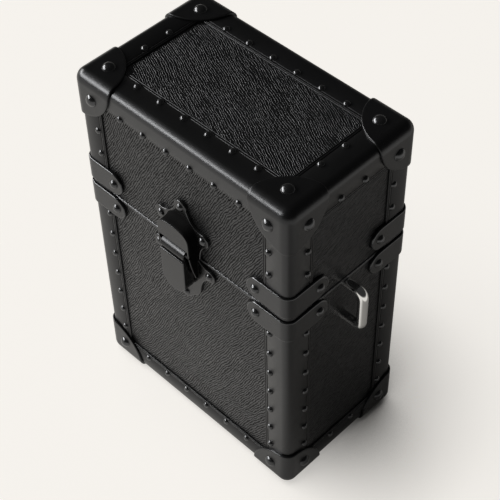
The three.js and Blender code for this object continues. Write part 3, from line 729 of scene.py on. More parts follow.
def add_piece(
    name: str,
    shape: Shape,
    finish: Finish,
    body: Body,
    stands_for: Sequence[str] = (),
    amount: Callable[[Array], Array] | None = None,
    angle: float = SMOOTH_ANGLE,
) -> bpy.types.Object:
    """Makes a mesh object of a shape, dresses it and hangs it on its body.

    Args:
        name: The piece's name.
        shape: Its shape, in millimetres about the middle of the case.
        finish: Its finish, whose material it gets.
        body: The body it rides on.
        stands_for: The nodes of the frame that it replaces.
        amount: The grain's amount at points in millimetres, or None for full grain.
        angle: The angle in degrees past which an edge stays sharp.

    Returns:
        The object.
    """
    mesh = bpy.data.meshes.new(name)
    points = shape.points + (0.0, case.middle_y, 0.0)
    mesh.from_pydata((points * MM).tolist(), [], shape.faces)
    if shape.marks is not None:
        marks = mesh.attributes.new(RECESS, "FLOAT", "POINT")
        marks.data.foreach_set("value", shape.marks.astype(np.float32))
    work = bmesh.new()
    work.from_mesh(mesh)
    bmesh.ops.remove_doubles(work, verts=work.verts, dist=MERGE_DISTANCE)
    bmesh.ops.dissolve_degenerate(work, edges=work.edges, dist=MERGE_DISTANCE / 2)
    bmesh.ops.recalc_face_normals(work, faces=work.faces)
    work.to_mesh(mesh)
    work.free()
    mesh.shade_smooth()
    mesh.set_sharp_from_angle(angle=math.radians(angle))
    if isinstance(finish, GrainedLeather):
        map_grain(mesh, amount)
    return dress(name, mesh, finish, body, stands_for)


def dress(
    name: str, mesh: bpy.types.Mesh, finish: Finish, body: Body, stands_for: Sequence[str] = ()
) -> bpy.types.Object:
    """Puts a mesh into the scene under a name, with its finish, body and the nodes it stands for.

    Args:
        name: The piece's name.
        mesh: Its mesh, in metres.
        finish: Its finish.
        body: The body it rides on.
        stands_for: The nodes of the frame that it replaces.

    Returns:
        The object.
    """
    mesh.materials.clear()
    mesh.materials.append(material_of(finish))
    piece = bpy.data.objects.new(name, mesh)
    bpy.context.scene.collection.objects.link(piece)
    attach(piece, body.value)
    if stands_for:
        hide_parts(*stands_for)
    log.info("%s: %d faces on %s", name, len(mesh.polygons), body.value)
    return piece


def read_all(items: bpy.types.bpy_prop_collection, name: str, wide: int = 1, kind: type = float) -> Array:
    """One property of every item of a mesh's collection.

    Args:
        items: The collection.
        name: The property.
        wide: How many numbers it has.
        kind: The type of a number.

    Returns:
        An array with a row an item.
    """
    values = np.zeros(len(items) * wide, kind)
    items.foreach_get(name, values)
    return values.reshape(-1, wide)


def map_grain(mesh: bpy.types.Mesh, amount: Callable[[Array], Array] | None) -> None:
    """Writes the grain map and the grain amount of a mesh.

    Each face is laid flat along the axis that it faces most, and turned so that the first coordinate runs
    along the flow of the hide there.

    Args:
        mesh: The mesh, in metres.
        amount: The grain's amount at points in millimetres, or None for full grain.
    """
    places = read_all(mesh.vertices, "co", 3)
    loops = read_all(mesh.loops, "vertex_index", kind=int)[:, 0]
    totals = read_all(mesh.polygons, "loop_total", kind=int)[:, 0]
    axis = np.repeat(np.abs(read_all(mesh.polygons, "normal", 3)).argmax(1), totals)
    at = places[loops]
    flat_u = np.where(axis == 0, at[:, 1], at[:, 0])
    flat_v = np.where(axis == 2, at[:, 1], at[:, 2])
    turn = np.radians(np.array(FLOW_DEGREES)[axis])
    u = flat_u * np.cos(turn) + flat_v * np.sin(turn)
    v = flat_v * np.cos(turn) - flat_u * np.sin(turn)
    layer = mesh.uv_layers.new(name=GRAIN_UV)
    layer.data.foreach_set("uv", np.stack([u, v], -1).astype(np.float32).ravel())
    share = np.ones(len(places)) if amount is None else amount(places / MM - (0.0, case.middle_y, 0.0))
    share = share[loops] * np.array(FACE_AMOUNT)[axis]
    amounts = mesh.attributes.new(GRAIN_AMOUNT, "FLOAT", "CORNER")
    amounts.data.foreach_set("value", share.astype(np.float32))


def refine_node(node: str, finish: Finish, body: Body, bevel: float, segments: int = 2) -> None:
    """Adds a copy of a node of the frame with merged points and rounded edges, which stands for it.

    Args:
        node: The node's name.
        finish: Its finish.
        body: The body it rides on.
        bevel: The rounding of its edges, in millimetres.
        segments: Faces across a rounded edge.
    """
    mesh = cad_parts[node].data.copy()
    mesh.name = node + "_finished"
    work = bmesh.new()
    work.from_mesh(mesh)
    bmesh.ops.remove_doubles(work, verts=work.verts, dist=MERGE_DISTANCE)
    bmesh.ops.dissolve_limit(work, angle_limit=math.radians(FLAT_ANGLE), verts=work.verts, edges=work.edges)
    work.to_mesh(mesh)
    work.free()
    piece = dress(node + "_finished", mesh, finish, body, (node,))
    modifier = piece.modifiers.new("edges", "BEVEL")
    modifier.width = bevel * MM
    modifier.segments = segments
    modifier.limit_method = "ANGLE"
    modifier.angle_limit = math.radians(BEVEL_ANGLE)
    modifier.harden_normals = False
    mesh.shade_smooth()
    mesh.set_sharp_from_angle(angle=math.radians(SMOOTH_ANGLE))


def finish_node(node: str, finish: Finish) -> None:
    """Gives a node of the frame its finish in place of its first material.

    Args:
        node: The node's name.
        finish: Its finish.
    """
    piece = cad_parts[node]
    if piece.material_slots:
        piece.material_slots[0].material = material_of(finish)
    else:
        piece.data.materials.append(material_of(finish))
    log.info("%s: finished as %s", node, finish.slot.value)


# Curves and outlines


def smooth_step(share: Array) -> Array:
    """The share s of a way as s * s * (3 - 2 * s), level at both ends."""
    return share * share * (3 - 2 * share)


def arc(x: float, z: float, radius: float, start: float, end: float, count: int = 24) -> Array:
    """Points of a circle about a point, between two turns in degrees."""
    turn = np.radians(np.linspace(start, end, count))
    return np.stack([x + radius * np.cos(turn), z + radius * np.sin(turn)], -1)


def bend(start: Sequence[float], pull: Sequence[float], end: Sequence[float], count: int = 18) -> Array:
    """Points of the curve that leaves start towards pull and reaches end from pull."""
    t = np.linspace(0, 1, count)[:, None]
    return (1 - t) ** 2 * np.array(start) + 2 * t * (1 - t) * np.array(pull) + t**2 * np.array(end)


def distinct(path: Array) -> Array:
    """A path without points that lie on the one before."""
    step = np.linalg.norm(np.diff(path, axis=0), axis=1)
    return path[np.concatenate([[True], step > TOUCHING])]


def mirrored(right: Array) -> Array:
    """A closed outline from its right half, which runs from the bottom to the top or back.

    Args:
        right: The right half's points.

    Returns:
        The outline's points, with none twice.
    """
    left = right[::-1] * (-1, 1)
    whole = distinct(np.concatenate([right, left]))
    return whole[:-1] if np.linalg.norm(whole[0] - whole[-1]) < TOUCHING else whole


def inset(outline: Array, by: float, least_cosine: float = 0.5) -> Array:
    """A closed outline drawn in by a distance.

    Each point moves along the mean of the inward normals of its two sides, by the distance over the cosine
    of half their angle, so that straight sides stay parallel.

    Args:
        outline: The outline's points.
        by: The distance.
        least_cosine: What the cosine is kept above at sharp points.

    Returns:
        The points of the outline inside it.
    """
    after = np.roll(outline, -1, 0) - outline
    side = after / np.linalg.norm(after, axis=1, keepdims=True)
    area = np.sum(outline[:, 0] * np.roll(outline[:, 1], -1) - outline[:, 1] * np.roll(outline[:, 0], -1))
    inward = np.stack([-side[:, 1], side[:, 0]], -1) * np.sign(area)
    mean = inward + np.roll(inward, 1, 0)
    mean /= np.maximum(np.linalg.norm(mean, axis=1, keepdims=True), TINY)
    spread = np.maximum(np.sum(mean * inward, axis=1, keepdims=True), least_cosine)
    return outline + mean * by / spread


def quarter(size: float, steps: int = 4) -> list:
    """A rounded edge as pairs of inset and drop below the face, from the wall to the face."""
    turn = np.linspace(0, math.pi / 2, steps + 1)
    return [(size * (1 - math.cos(t)), size * (1 - math.sin(t))) for t in turn]


def halved(low: Array, high: Array, holds: Callable[[Array], Array], steps: int) -> Array:
    """The last numbers at which a test holds, found by halving the stretch that they lie in.

    Args:
        low: Numbers at which it holds.
        high: Numbers at which it fails.
        holds: The test on an array of numbers.
        steps: How often the stretch is halved.

    Returns:
        The numbers.
    """
    for _ in range(steps):
        half = (low + high) / 2
        inside = holds(half)
        low, high = np.where(inside, half, low), np.where(inside, high, half)
    return low


def on_front(flat: Array, proud: Array | float) -> Array:
    """Points on the front from their x and height above the split, at a proudness of the strips' face."""
    depth = np.broadcast_to(-case.half_y - proud, len(flat))
    return np.column_stack([flat[:, 0], depth, case.split + flat[:, 1]])


def front_plate(outline: Array, profile: Sequence[tuple]) -> Shape:
    """A plate on the front face: an outline drawn in by each inset of a profile at its proudness.

    The rounding beside the face is marked as burnished.

    Args:
        outline: A closed outline in x and height above the split.
        profile: Pairs of inset and proudness of the strips' face, from the back to the front.

    Returns:
        The shape, closed at both ends.
    """
    shape = loft(np.array([on_front(inset(outline, by), proud) for by, proud in profile]))
    drops = [profile[-1][1] - proud for _, proud in profile]
    burnish = [-1.0 if BURNISHED_DEPTH > drop > MERGE_DISTANCE / MM else 0.0 for drop in drops]
    shape.marks = np.repeat(burnish, len(outline))
    return shape


@dataclass(frozen=True)
class Head:
    """The domed head of a nail or rivet: its sizes, and the sides and rings that it is made of."""

    radius: float
    height: float
    sides: int = 18
    rings: int = 5
    wall_share: float = 0.25

    def on(self, point: Sequence[float], normal: Sequence[float]) -> Shape:
        """The head on a surface point.

        The cap of a sphere is turned about the normal, and a short wall goes down from its rim.

        Args:
            point: The point.
            normal: The surface's normal there.

        Returns:
            The shape.
        """
        sphere = (self.radius**2 + self.height**2) / (2 * self.height)
        turn = np.linspace(math.asin(self.radius / sphere), 0, self.rings + 1)[:-1]
        reach = np.concatenate([[self.radius], sphere * np.sin(turn)])
        cap = self.height - sphere + sphere * np.cos(turn)
        rise = np.concatenate([[-self.wall_share * self.height], cap])
        angle = np.linspace(0, 2 * math.pi, self.sides, endpoint=False)
        up, foot = np.array(normal, float), np.array(point, float)
        side = np.cross(up, (0.0, 0.0, 1.0) if abs(up[2]) < 0.5 else (1.0, 0.0, 0.0))
        side /= np.linalg.norm(side)
        wheel = np.cos(angle)[:, None] * side + np.sin(angle)[:, None] * np.cross(up, side)
        skin = reach[:, None, None] * wheel[None] + rise[:, None, None] * up + foot
        shape = loft(skin, cap_last=False)
        pole = len(shape.points)
        last = (len(reach) - 1) * self.sides
        shape.add(foot + self.height * up, [])
        shape.faces += [[last + n, last + (n + 1) % self.sides, pole] for n in range(self.sides)]
        return shape


@dataclass(frozen=True)
class Edge:
    """One rounded edge of the case, which maps places along and across it to the surface."""

    middle: Sequence[float]
    first: tuple
    second: tuple
    along: tuple

    @classmethod
    def upright(cls, x: int, y: int) -> "Edge":
        """The upright edge at a corner. Its first face is the wide one, and its second the narrow one."""
        return cls((x * case.half_x, y * case.half_y, 0.0), (0, y, 0), (x, 0, 0), (0, 0, 1))

    @classmethod
    def level(cls, x: int, y: int, up: int) -> "Edge":
        """A level edge of the lid's top or the base's underside. Its first face is the upright one."""
        return cls(case.corner(x, y, up), (x, y, 0), (0, 0, up), (abs(y), abs(x), 0))

    @property
    def quarter_arc(self) -> float:
        """Half the length of the rounding."""
        return case.edge_round * math.pi / 4

    def reach(self, distance: float) -> float:
        """The place across of a point on a face at a distance from the sharp edge."""
        return distance - case.edge_round + self.quarter_arc

    def at(self, across: Array, along: Array, proud: Array) -> Array:
        """Points on the edge.

        Across is measured over the rounding from its middle, negative on the first face. The normal turns
        from the first face's to the second's over the rounding, and past it the point slides straight on.

        Args:
            across: Places across, in millimetres.
            along: Places along the edge.
            proud: Heights above the strips' face.

        Returns:
            The points.
        """
        first, second, line = (np.array(v, float) for v in (self.first, self.second, self.along))
        middle = np.array(self.middle, float) - case.edge_round * (first + second)
        across, along, proud = np.broadcast_arrays(across, along, proud)
        turn = np.clip(across / case.edge_round, -math.pi / 4, math.pi / 4) + math.pi / 4
        normal = np.cos(turn)[..., None] * first + np.sin(turn)[..., None] * second
        slide = np.maximum(np.abs(across) - self.quarter_arc, 0.0)[..., None]
        inward = np.where((across < 0)[..., None], -second, -first)
        raised = (case.edge_round + proud)[..., None] * normal
        return middle + raised + slide * inward + along[..., None] * line


# The case and what binds it


@dataclass
class Covers:
    """The grained leather over the boards of the base and the lid, turned in over the boards' edges."""

    thick: float = 1.0
    board_edge: float = 7.1
    edge_gap: float = 0.02
    lip_thick: float = 0.15
    base_lip: float = 1.4
    lid_lip: float = 0.5
    bead: float = 0.7
    bead_turn: float = 0.78 * math.pi
    rim_walls: tuple = (2.8, 4.5)
    worn_depth: float = 2.0
    worn_fade: float = 1.5
    worn_least: float = 0.3
    least_round: float = 0.01
    corner_steps: int = 10
    fold_steps: int = 7
    bead_points: int = 16

    def build(self) -> None:
        """Makes both covers and finishes the boards and linings inside them."""
        base = self._cover(case.base_top, case.low, -1)
        lid = self._cover(case.lid_bottom, case.top, 1)
        add_piece("base_cover_leather", base, GRAINED, Body.BASE, ("base_cover",), amount=self._worn_rim)
        add_piece("lid_cover_leather", lid, GRAINED, Body.LID, ("lid_cover",))
        for half, _, _ in HALVES:
            finish_node(f"{half}_shell", BOARD)
            finish_node(f"{half}_lining", SUEDE)

    def _worn_rim(self, places: Array) -> Array:
        """The base's grain: full below the rim, and rubbed off on its bead."""
        depth = case.base_top - self.worn_depth - places[:, 2]
        return np.clip(depth / self.worn_fade, self.worn_least, 1)

    def _ring(self, into: float, height: float) -> Array:
        """A rounded rectangle at a height: a quarter circle about each corner's middle.

        Args:
            into: How far it is drawn in from the cover's face.
            height: Its height.

        Returns:
            Its points.
        """
        round_by = max(case.edge_round - case.strip_thick - into, self.least_round)
        x = case.half_x - case.strip_thick - into - round_by
        y = case.half_y - case.strip_thick - into - round_by
        turn = np.linspace(0, math.pi / 2, self.corner_steps)
        signs = ((1, 1), (-1, 1), (-1, -1), (1, -1))
        parts = []
        for count, (sx, sy) in enumerate(signs):
            t = turn + count * math.pi / 2
            parts.append(np.stack([sx * x + round_by * np.cos(t), sy * y + round_by * np.sin(t)], -1))
        flat = np.concatenate(parts)
        return np.column_stack([flat, np.full(len(flat), height)])

    def _cover(self, rim: float, end: float, away: int) -> Shape:
        """A cover as one bent sheet: the inner skin, the lip over the board's edge, and the outer skin.

        Each ring follows a rounded rectangle, and both skins fold over the far edges as quarter circles.
        The base's lip is a bead, most of a half circle, and the lid's is a small rounding.

        Args:
            rim: The height of the board's edge at the split.
            end: The height of the strips' face at the far end.
            away: 1 if the far end is above the split, and -1 if it is below.

        Returns:
            The shape.
        """
        outer = case.edge_round - case.strip_thick
        outer_end = end - away * case.strip_thick
        inner_end = end - away * (case.strip_thick + self.thick)
        fold = quarter(outer - self.thick, self.fold_steps)[::-1]
        steps = [(self.thick + by, inner_end - away * down) for by, down in fold]
        board = rim + away * self.edge_gap
        top = rim - away * self.lip_thick
        steps += [(self.thick, board), (self.board_edge, board), (self.board_edge, top)]
        bead_first = bead_last = len(steps)
        if away < 0:
            out = self.base_lip - self.bead
            for t in np.linspace(0, self.bead_turn, self.bead_points):
                steps.append((out - self.base_lip * math.sin(t), top - self.base_lip * (1 - math.cos(t))))
            bead_last = len(steps)
            steps += [(0.0, top - drop) for drop in self.rim_walls]
        else:
            steps += [(down, top + by) for by, down in quarter(self.lid_lip, self.fold_steps)]
        steps += [(by, outer_end - away * down) for by, down in quarter(outer, self.fold_steps)]
        rings = np.array([self._ring(into, height) for into, height in steps])
        burnish = np.zeros(len(steps))
        burnish[bead_first:bead_last] = -1.0
        shape = loft(rings)
        shape.marks = np.repeat(burnish, rings.shape[1])
        return shape


@dataclass
class Strips:
    """Smooth leather strips nailed round the edges of the case."""

    reach: float = 23.6
    cut_round: float = 0.5
    crease_insets: tuple = (2.9, 1.1)
    crease_width: float = 0.42
    crease_depth: float = 0.42
    crease_mark: float = 1.3
    skive: float = 9.0
    end_gap: float = 23.75
    hidden_end: float = 1.0
    nail: Head = Head(radius=2.8, height=1.9)
    nail_inset: float = 18.3
    cap_reach: float = 36.0
    rim_gap: float = 12.5
    base_gap: float = 7.4
    lid_gap: float = 14.2
    wide_pitch: float = 22.8
    narrow_pitch: float = 23.4
    base_pitch: float = 22.55
    lid_pitch: float = 22.0
    base_count: int = 7
    lid_count: int = 2
    grain_rise: float = 3.5
    grain_run: float = 1.5
    bow_points: int = 9
    crease_points: int = 7
    skive_points: int = 12
    along_points: int = 9

    @property
    def cap_edge(self) -> float:
        """How far a cap reaches along the line of nails."""
        return math.sqrt(self.cap_reach**2 - self.nail_inset**2)

    def build(self) -> None:
        """Makes the eight upright strips, the eight rim strips and their nails."""
        for name, x, y in CORNERS:
            for half, body, up in HALVES:
                self._upright(f"{half}_strip_{name}", body, Edge.upright(x, y), up)
        for name, x, y in SIDES:
            for half, body, up in HALVES:
                self._rim(f"{half}_rim_strip_{name}", body, x, y, up)

    def _half_profile(self, edge: Edge, skived: bool) -> Array:
        """The profile from the middle of the edge to a cut edge at positive across.

        The face is level but for two pressed creases beside the cut edge, which is rounded. A crease is
        the square of a cosine. A skived edge thins out to nothing over its last stretch instead.

        Args:
            edge: The case's edge.
            skived: True if the strip thins out.

        Returns:
            Pairs of across and proudness.
        """
        end = edge.reach(self.reach)
        bow = np.linspace(0, edge.quarter_arc, self.bow_points)
        if skived:
            share = np.linspace(0, 1, self.skive_points)
            thin = end - self.skive * (1 - share)
            drop = LEATHER_FOOT * smooth_step(share)
            return np.column_stack([np.concatenate([bow, thin]), np.concatenate([0 * bow, drop])])
        run = np.linspace(-1, 1, self.crease_points)
        crease = np.concatenate([end - by + self.crease_width * run for by in self.crease_insets])
        dip = -self.crease_depth * np.cos(run * math.pi / 2) ** 2
        cut = quarter(self.cut_round)[::-1]
        across = np.concatenate([bow, crease, [end - by for by, _ in cut]])
        proud = np.concatenate([0 * bow, dip, dip, [-down for _, down in cut]])
        return np.column_stack([across, proud])

    def _section(self, edge: Edge, skive_first: bool) -> Array:
        """The closed section of a strip.

        Args:
            edge: The case's edge.
            skive_first: True if it thins out on the edge's first face.

        Returns:
            Pairs of across and proudness.
        """
        second = self._half_profile(edge, False)
        first = self._half_profile(edge, skive_first) * (-1, 1)
        face = distinct(np.concatenate([first[::-1], second]))
        under = np.column_stack([face[::-1, 0], np.full(len(face), LEATHER_FOOT - UNDERSIDE_DROP)])
        return np.concatenate([face, under])

    def _strip(self, edge: Edge, start: float, end: float, skive_first: bool = False) -> Shape:
        """A strip: its section carried along its edge.

        Args:
            edge: The case's edge.
            start: Where it starts along the edge.
            end: Where it ends.
            skive_first: True if it thins out on the edge's first face.

        Returns:
            The shape.
        """
        section = self._section(edge, skive_first)
        along = np.linspace(start, end, self.along_points)[:, None]
        shape = loft(edge.at(section[None, :, 0], along, section[None, :, 1]))
        shape.marks = np.tile(self._crease_marks(edge, section), len(along))
        return shape

    def _crease_marks(self, edge: Edge, section: Array) -> Array:
        """How deep in a pressed crease the points of a section lie.

        Args:
            edge: The case's edge.
            section: Pairs of across and proudness.

        Returns:
            Marks from 0 to 1.
        """
        middles = edge.reach(self.reach) - np.array(self.crease_insets)
        away = np.abs(np.abs(section[:, :1]) - middles).min(axis=1)
        marks = np.clip(self.crease_mark - away / self.crease_width, 0, 1)
        return np.where(section[:, 1] > LEATHER_FOOT, marks, 0.0)

    def _add_nails(self, node: str, body: Body, edge: Edge, places: Array, sides: Sequence[int]) -> None:
        """Adds the nails of a strip as one piece.

        Args:
            node: The strip's node.
            body: The body it rides on.
            edge: The case's edge.
            places: The nails' places along it.
            sides: -1 for a row on the edge's first face, 1 for one on its second.
        """
        nails = Shape()
        for place in places:
            for side in sides:
                point = edge.at(side * edge.reach(self.nail_inset), place, 0.0)
                nails.join(self.nail.on(point, edge.first if side < 0 else edge.second))
        add_piece(f"{node}_nails", nails, NAIL_BLACK, body)

    def _upright(self, node: str, body: Body, edge: Edge, up: int) -> None:
        """Adds an upright strip and its nails, which run from the cap's edge to the band.

        Args:
            node: The strip's node.
            body: The body it rides on.
            edge: The case's edge.
            up: 1 on the lid, -1 on the base.
        """
        hidden = case.edge_round + self.hidden_end
        if up < 0:
            strip = self._strip(edge, case.low + hidden, case.base_top)
            heights = case.low + self.cap_edge + self.base_gap + self.base_pitch * np.arange(self.base_count)
        else:
            strip = self._strip(edge, case.lid_bottom, case.top - hidden)
            heights = case.top - self.cap_edge - self.lid_gap - self.lid_pitch * np.arange(self.lid_count)
        add_piece(f"{node}_leather", strip, SMOOTH, body, (node,))
        self._add_nails(node, body, edge, heights, (-1, 1))

    def _rim(self, node: str, body: Body, x: int, y: int, up: int) -> None:
        """Adds a level strip and its nails, centred between the caps.

        The lid's front strip thins out over the cover's grain. The base's strips have no nails underneath.

        Args:
            node: The strip's node.
            body: The body it rides on.
            x: The side's sign along x, or 0.
            y: The side's sign along y, or 0.
            up: 1 on the lid, -1 on the base.
        """
        edge = Edge.level(x, y, up)
        half_length, pitch = (case.half_x, self.wide_pitch) if x == 0 else (case.half_y, self.narrow_pitch)
        length = half_length - self.end_gap
        on_lid_front = up > 0 and y < 0
        finish, amount = (GRAINED, self._fading_grain) if on_lid_front else (SMOOTH, None)
        strip = self._strip(edge, -length, length, skive_first=on_lid_front)
        add_piece(f"{node}_leather", strip, finish, body, (node,), amount=amount)
        free = 2 * half_length - 2 * (self.cap_edge + self.rim_gap)
        count = int(free // pitch) + 1
        places = (np.arange(count) - (count - 1) / 2) * pitch
        self._add_nails(node, body, edge, places, (-1, 1) if up > 0 else (-1,))

    def _fading_grain(self, places: Array) -> Array:
        """The grain of the thinned front strip: none above its nails, and full at its lower edge."""
        depth = case.top - places[:, 2] - self.nail_inset + self.grain_rise
        return smooth_step(np.clip(depth / (self.reach - self.nail_inset + self.grain_run), 0, 1))


@dataclass
class Caps:
    """Moulded leather caps over the eight corners, each cut round and held by large rivets."""

    reach: float = 36.0
    thick: float = 1.8
    cut_round: float = 0.75
    cut_steps: int = 5
    flat_rounds: float = 3.0
    rivet: Head = Head(radius=5.0, height=3.0, sides=36, rings=9)
    rivet_inset: float = 17.0
    glide_radius: float = 5.5
    glide_round: float = 0.6
    glide_sides: int = 36
    around: int = 200
    rings: int = 40
    first_ring: float = 0.02
    under_every: int = 3
    look_from: float = 42.0
    ray_length: float = 168.0
    steepest: float = 88.0
    ray_halvings: int = 40
    lean_halvings: int = 32

    def build(self) -> None:
        """Makes the caps, their rivets and the glides under the base."""
        for name, x, y in CORNERS:
            for half, body, up in HALVES:
                node = f"{half}_cap_{name}"
                add_piece(f"{node}_leather", self._cap(x, y, up), SMOOTH, body, (node,))
                add_piece(f"{node}_rivets", self._rivets(x, y, up), NAIL_BLACK, body)

    @staticmethod
    def _outside(places: Array) -> Array:
        """The distance of points in the corner's own axes outside the rounded corner, less than 0 inside."""
        q = places + case.edge_round
        return np.linalg.norm(np.maximum(q, 0), axis=-1) + np.minimum(q.max(-1), 0) - case.edge_round

    def _surface(self, lean: Array, turn: Array) -> Array:
        """The points where rays from inside the corner leave it.

        Axes run out of the corner, which is at the origin. A ray starts on the corner's diagonal, leans
        from it by an angle and turns about it, and its length is found by halving.

        Args:
            lean: The rays' angles from the diagonal.
            turn: Their angles about it.

        Returns:
            The points.
        """
        diagonal = np.ones(3) / math.sqrt(3)
        side = np.array([1.0, -1.0, 0.0]) / math.sqrt(2)
        other = np.cross(diagonal, side)
        wheel = np.cos(turn)[..., None] * side + np.sin(turn)[..., None] * other
        ray = np.cos(lean)[..., None] * diagonal + np.sin(lean)[..., None] * wheel
        start = -self.look_from * diagonal
        nearest, farthest = np.zeros(lean.shape), np.full(lean.shape, self.ray_length)

        def inside(length: Array) -> Array:
            """True where a ray of a length ends inside the corner."""
            return self._outside(start + length[..., None] * ray) < 0

        return start + halved(nearest, farthest, inside, self.ray_halvings)[..., None] * ray

    def _lean_at(self, turn: Array, distance: float) -> Array:
        """The lean at which the surface is at a distance from the sharp corner.

        Args:
            turn: Angles about the diagonal.
            distance: The distance.

        Returns:
            The leans, in radians.
        """
        least, most = np.zeros(turn.shape), np.full(turn.shape, math.radians(self.steepest))

        def nearer(lean: Array) -> Array:
            """True where the surface at a lean is nearer than the distance."""
            return np.linalg.norm(self._surface(lean, turn), axis=-1) < distance

        return halved(least, most, nearer, self.lean_halvings)

    @staticmethod
    def _normal(places: Array) -> Array:
        """The outward normals of the rounded corner at points on it."""
        outward = np.maximum(places + case.edge_round, 0)
        return outward / np.linalg.norm(outward, axis=-1, keepdims=True)

    def _cap(self, x: int, y: int, up: int) -> Shape:
        """A cap: rings about the corner's diagonal on the surface, raised by the leather, with a cut edge.

        Inner rings share out the lean evenly. Outer ones follow the rounded edge of the leather and its
        wall down to the cover, and the last ones under it close the skin.

        Args:
            x: The corner's sign along x.
            y: Its sign along y.
            up: 1 on the lid, -1 on the base.

        Returns:
            The shape.
        """
        turn = np.linspace(0, 2 * math.pi, self.around, endpoint=False)
        rim = self._lean_at(turn, self.reach - self.flat_rounds * self.cut_round)
        shares = np.linspace(self.first_ring, 1, self.rings)
        rows = [(self._surface(rim * share, turn), self.thick) for share in shares]
        for by, down in quarter(self.cut_round, self.cut_steps)[::-1]:
            rows.append((self._surface(self._lean_at(turn, self.reach - by), turn), self.thick - down))
        rows.append((self._surface(self._lean_at(turn, self.reach), turn), LEATHER_FOOT))
        under = LEATHER_FOOT - UNDERSIDE_DROP
        rows += [(self._surface(rim * share, turn), under) for share in shares[:: -self.under_every]]
        skin = np.array([places + proud * self._normal(places) for places, proud in rows])
        return loft(case.corner(x, y, up) + skin * (x, y, up))

    def _rivets(self, x: int, y: int, up: int) -> Shape:
        """A rivet on each outer face of a cap, or a glide on the underside of a lower one.

        Args:
            x: The corner's sign along x.
            y: Its sign along y.
            up: 1 on the lid, -1 on the base.

        Returns:
            The shape.
        """
        corner = case.corner(x, y, up)
        axes = np.diag([x, y, up]).astype(float)
        shape = Shape()
        for n in range(3):
            point = corner - self.rivet_inset * (axes.sum(0) - axes[n]) + self.thick * axes[n]
            under = n == 2 and up < 0
            shape.join(self._glide(point) if under else self.rivet.on(point, axes[n]))
        return shape

    def _glide(self, point: Array) -> Shape:
        """A flat disc with rounded edges, from the cap's underside to the floor.

        Args:
            point: The middle of its upper face.

        Returns:
            The shape.
        """
        turn = np.linspace(0, 2 * math.pi, self.glide_sides, endpoint=False)
        rings = []
        for by, height in [(0.0, point[2]), *quarter(self.glide_round)]:
            radius = self.glide_radius - by
            circle = [point[0] + radius * np.cos(turn), point[1] + radius * np.sin(turn)]
            rings.append(np.column_stack([*circle, np.full(len(turn), height)]))
        return loft(np.array(rings))


@dataclass
class Bands:
    """Leather bands round the upright edges above and below the split, with round ends."""

    thick: float = 1.5
    height: float = 20.6
    reach: float = 38.5
    cut_round: float = 1.1
    rivet: Head = Head(radius=3.8, height=2.6, sides=30, rings=8)
    rivet_inset: float = 30.0
    lid_gap: float = 4.0
    base_gap: float = 0.5
    face_insets: tuple = (1.2, 3.0, 5.5, 8.0)
    under_inset: float = 5.0
    round_points: int = 17
    side_points: int = 6

    def build(self) -> None:
        """Makes the eight bands and their rivets."""
        for name, x, y in CORNERS:
            edge = Edge.upright(x, y)
            for half, body, up in HALVES:
                gap = self.lid_gap if up > 0 else self.base_gap
                middle = case.split + up * (gap + self.height / 2)
                node = f"{half}_band_{name}"
                add_piece(f"{node}_leather", self._band(edge, middle), SMOOTH, body, (node,))
                add_piece(f"{node}_rivets", self._rivets(edge, middle), NAIL_BLACK, body)

    def _band(self, edge: Edge, middle: float) -> Shape:
        """A band: rings of the round-ended outline, drawn in towards its middle line.

        Each ring point lies a radius away from a point of the middle line, upright along the straight
        sides and fanned out at the ends, so that the last ring closes on that line.

        Args:
            edge: The upright edge that it wraps.
            middle: The height of its middle line.

        Returns:
            The shape.
        """
        radius = self.height / 2
        half = edge.reach(self.reach) - radius
        arc_half = edge.quarter_arc
        left = np.linspace(-half, -arc_half, self.side_points)[:-1]
        right = np.linspace(arc_half, half, self.side_points)[1:]
        line = np.concatenate([left, np.linspace(-arc_half, arc_half, self.round_points), right])
        fan = np.linspace(-math.pi / 2, math.pi / 2, self.round_points)[1:-1]
        upright = np.full(len(line), math.pi / 2)
        centre = np.concatenate([line, np.full(len(fan), half), line[::-1], np.full(len(fan), -half)])
        turn = np.concatenate([-upright, fan, upright, fan + math.pi])
        under = LEATHER_FOOT - UNDERSIDE_DROP
        steps = [(radius, under), (self.under_inset, under), (0.0, LEATHER_FOOT)]
        steps += [(by, self.thick - down) for by, down in quarter(self.cut_round)]
        steps += [(by, self.thick) for by in (*self.face_insets, radius)]
        rings = []
        for by, proud in steps:
            across = centre + (radius - by) * np.cos(turn)
            along = middle + (radius - by) * np.sin(turn)
            rings.append(edge.at(across, along, np.full(len(across), proud)))
        shape = loft(np.array(rings), cap_first=False, cap_last=False)
        burnish = [-1.0 if 0 < by < self.cut_round and proud > 0 else 0.0 for by, proud in steps]
        shape.marks = np.repeat(burnish, len(centre))
        return shape

    def _rivets(self, edge: Edge, middle: float) -> Shape:
        """The two rivets of a band.

        Args:
            edge: The upright edge that it wraps.
            middle: The height of its middle line.

        Returns:
            The shape.
        """
        shape = Shape()
        for side, normal in ((-1, edge.first), (1, edge.second)):
            point = edge.at(side * edge.reach(self.rivet_inset), middle, self.thick)
            shape.join(self.rivet.on(point, normal))
        return shape


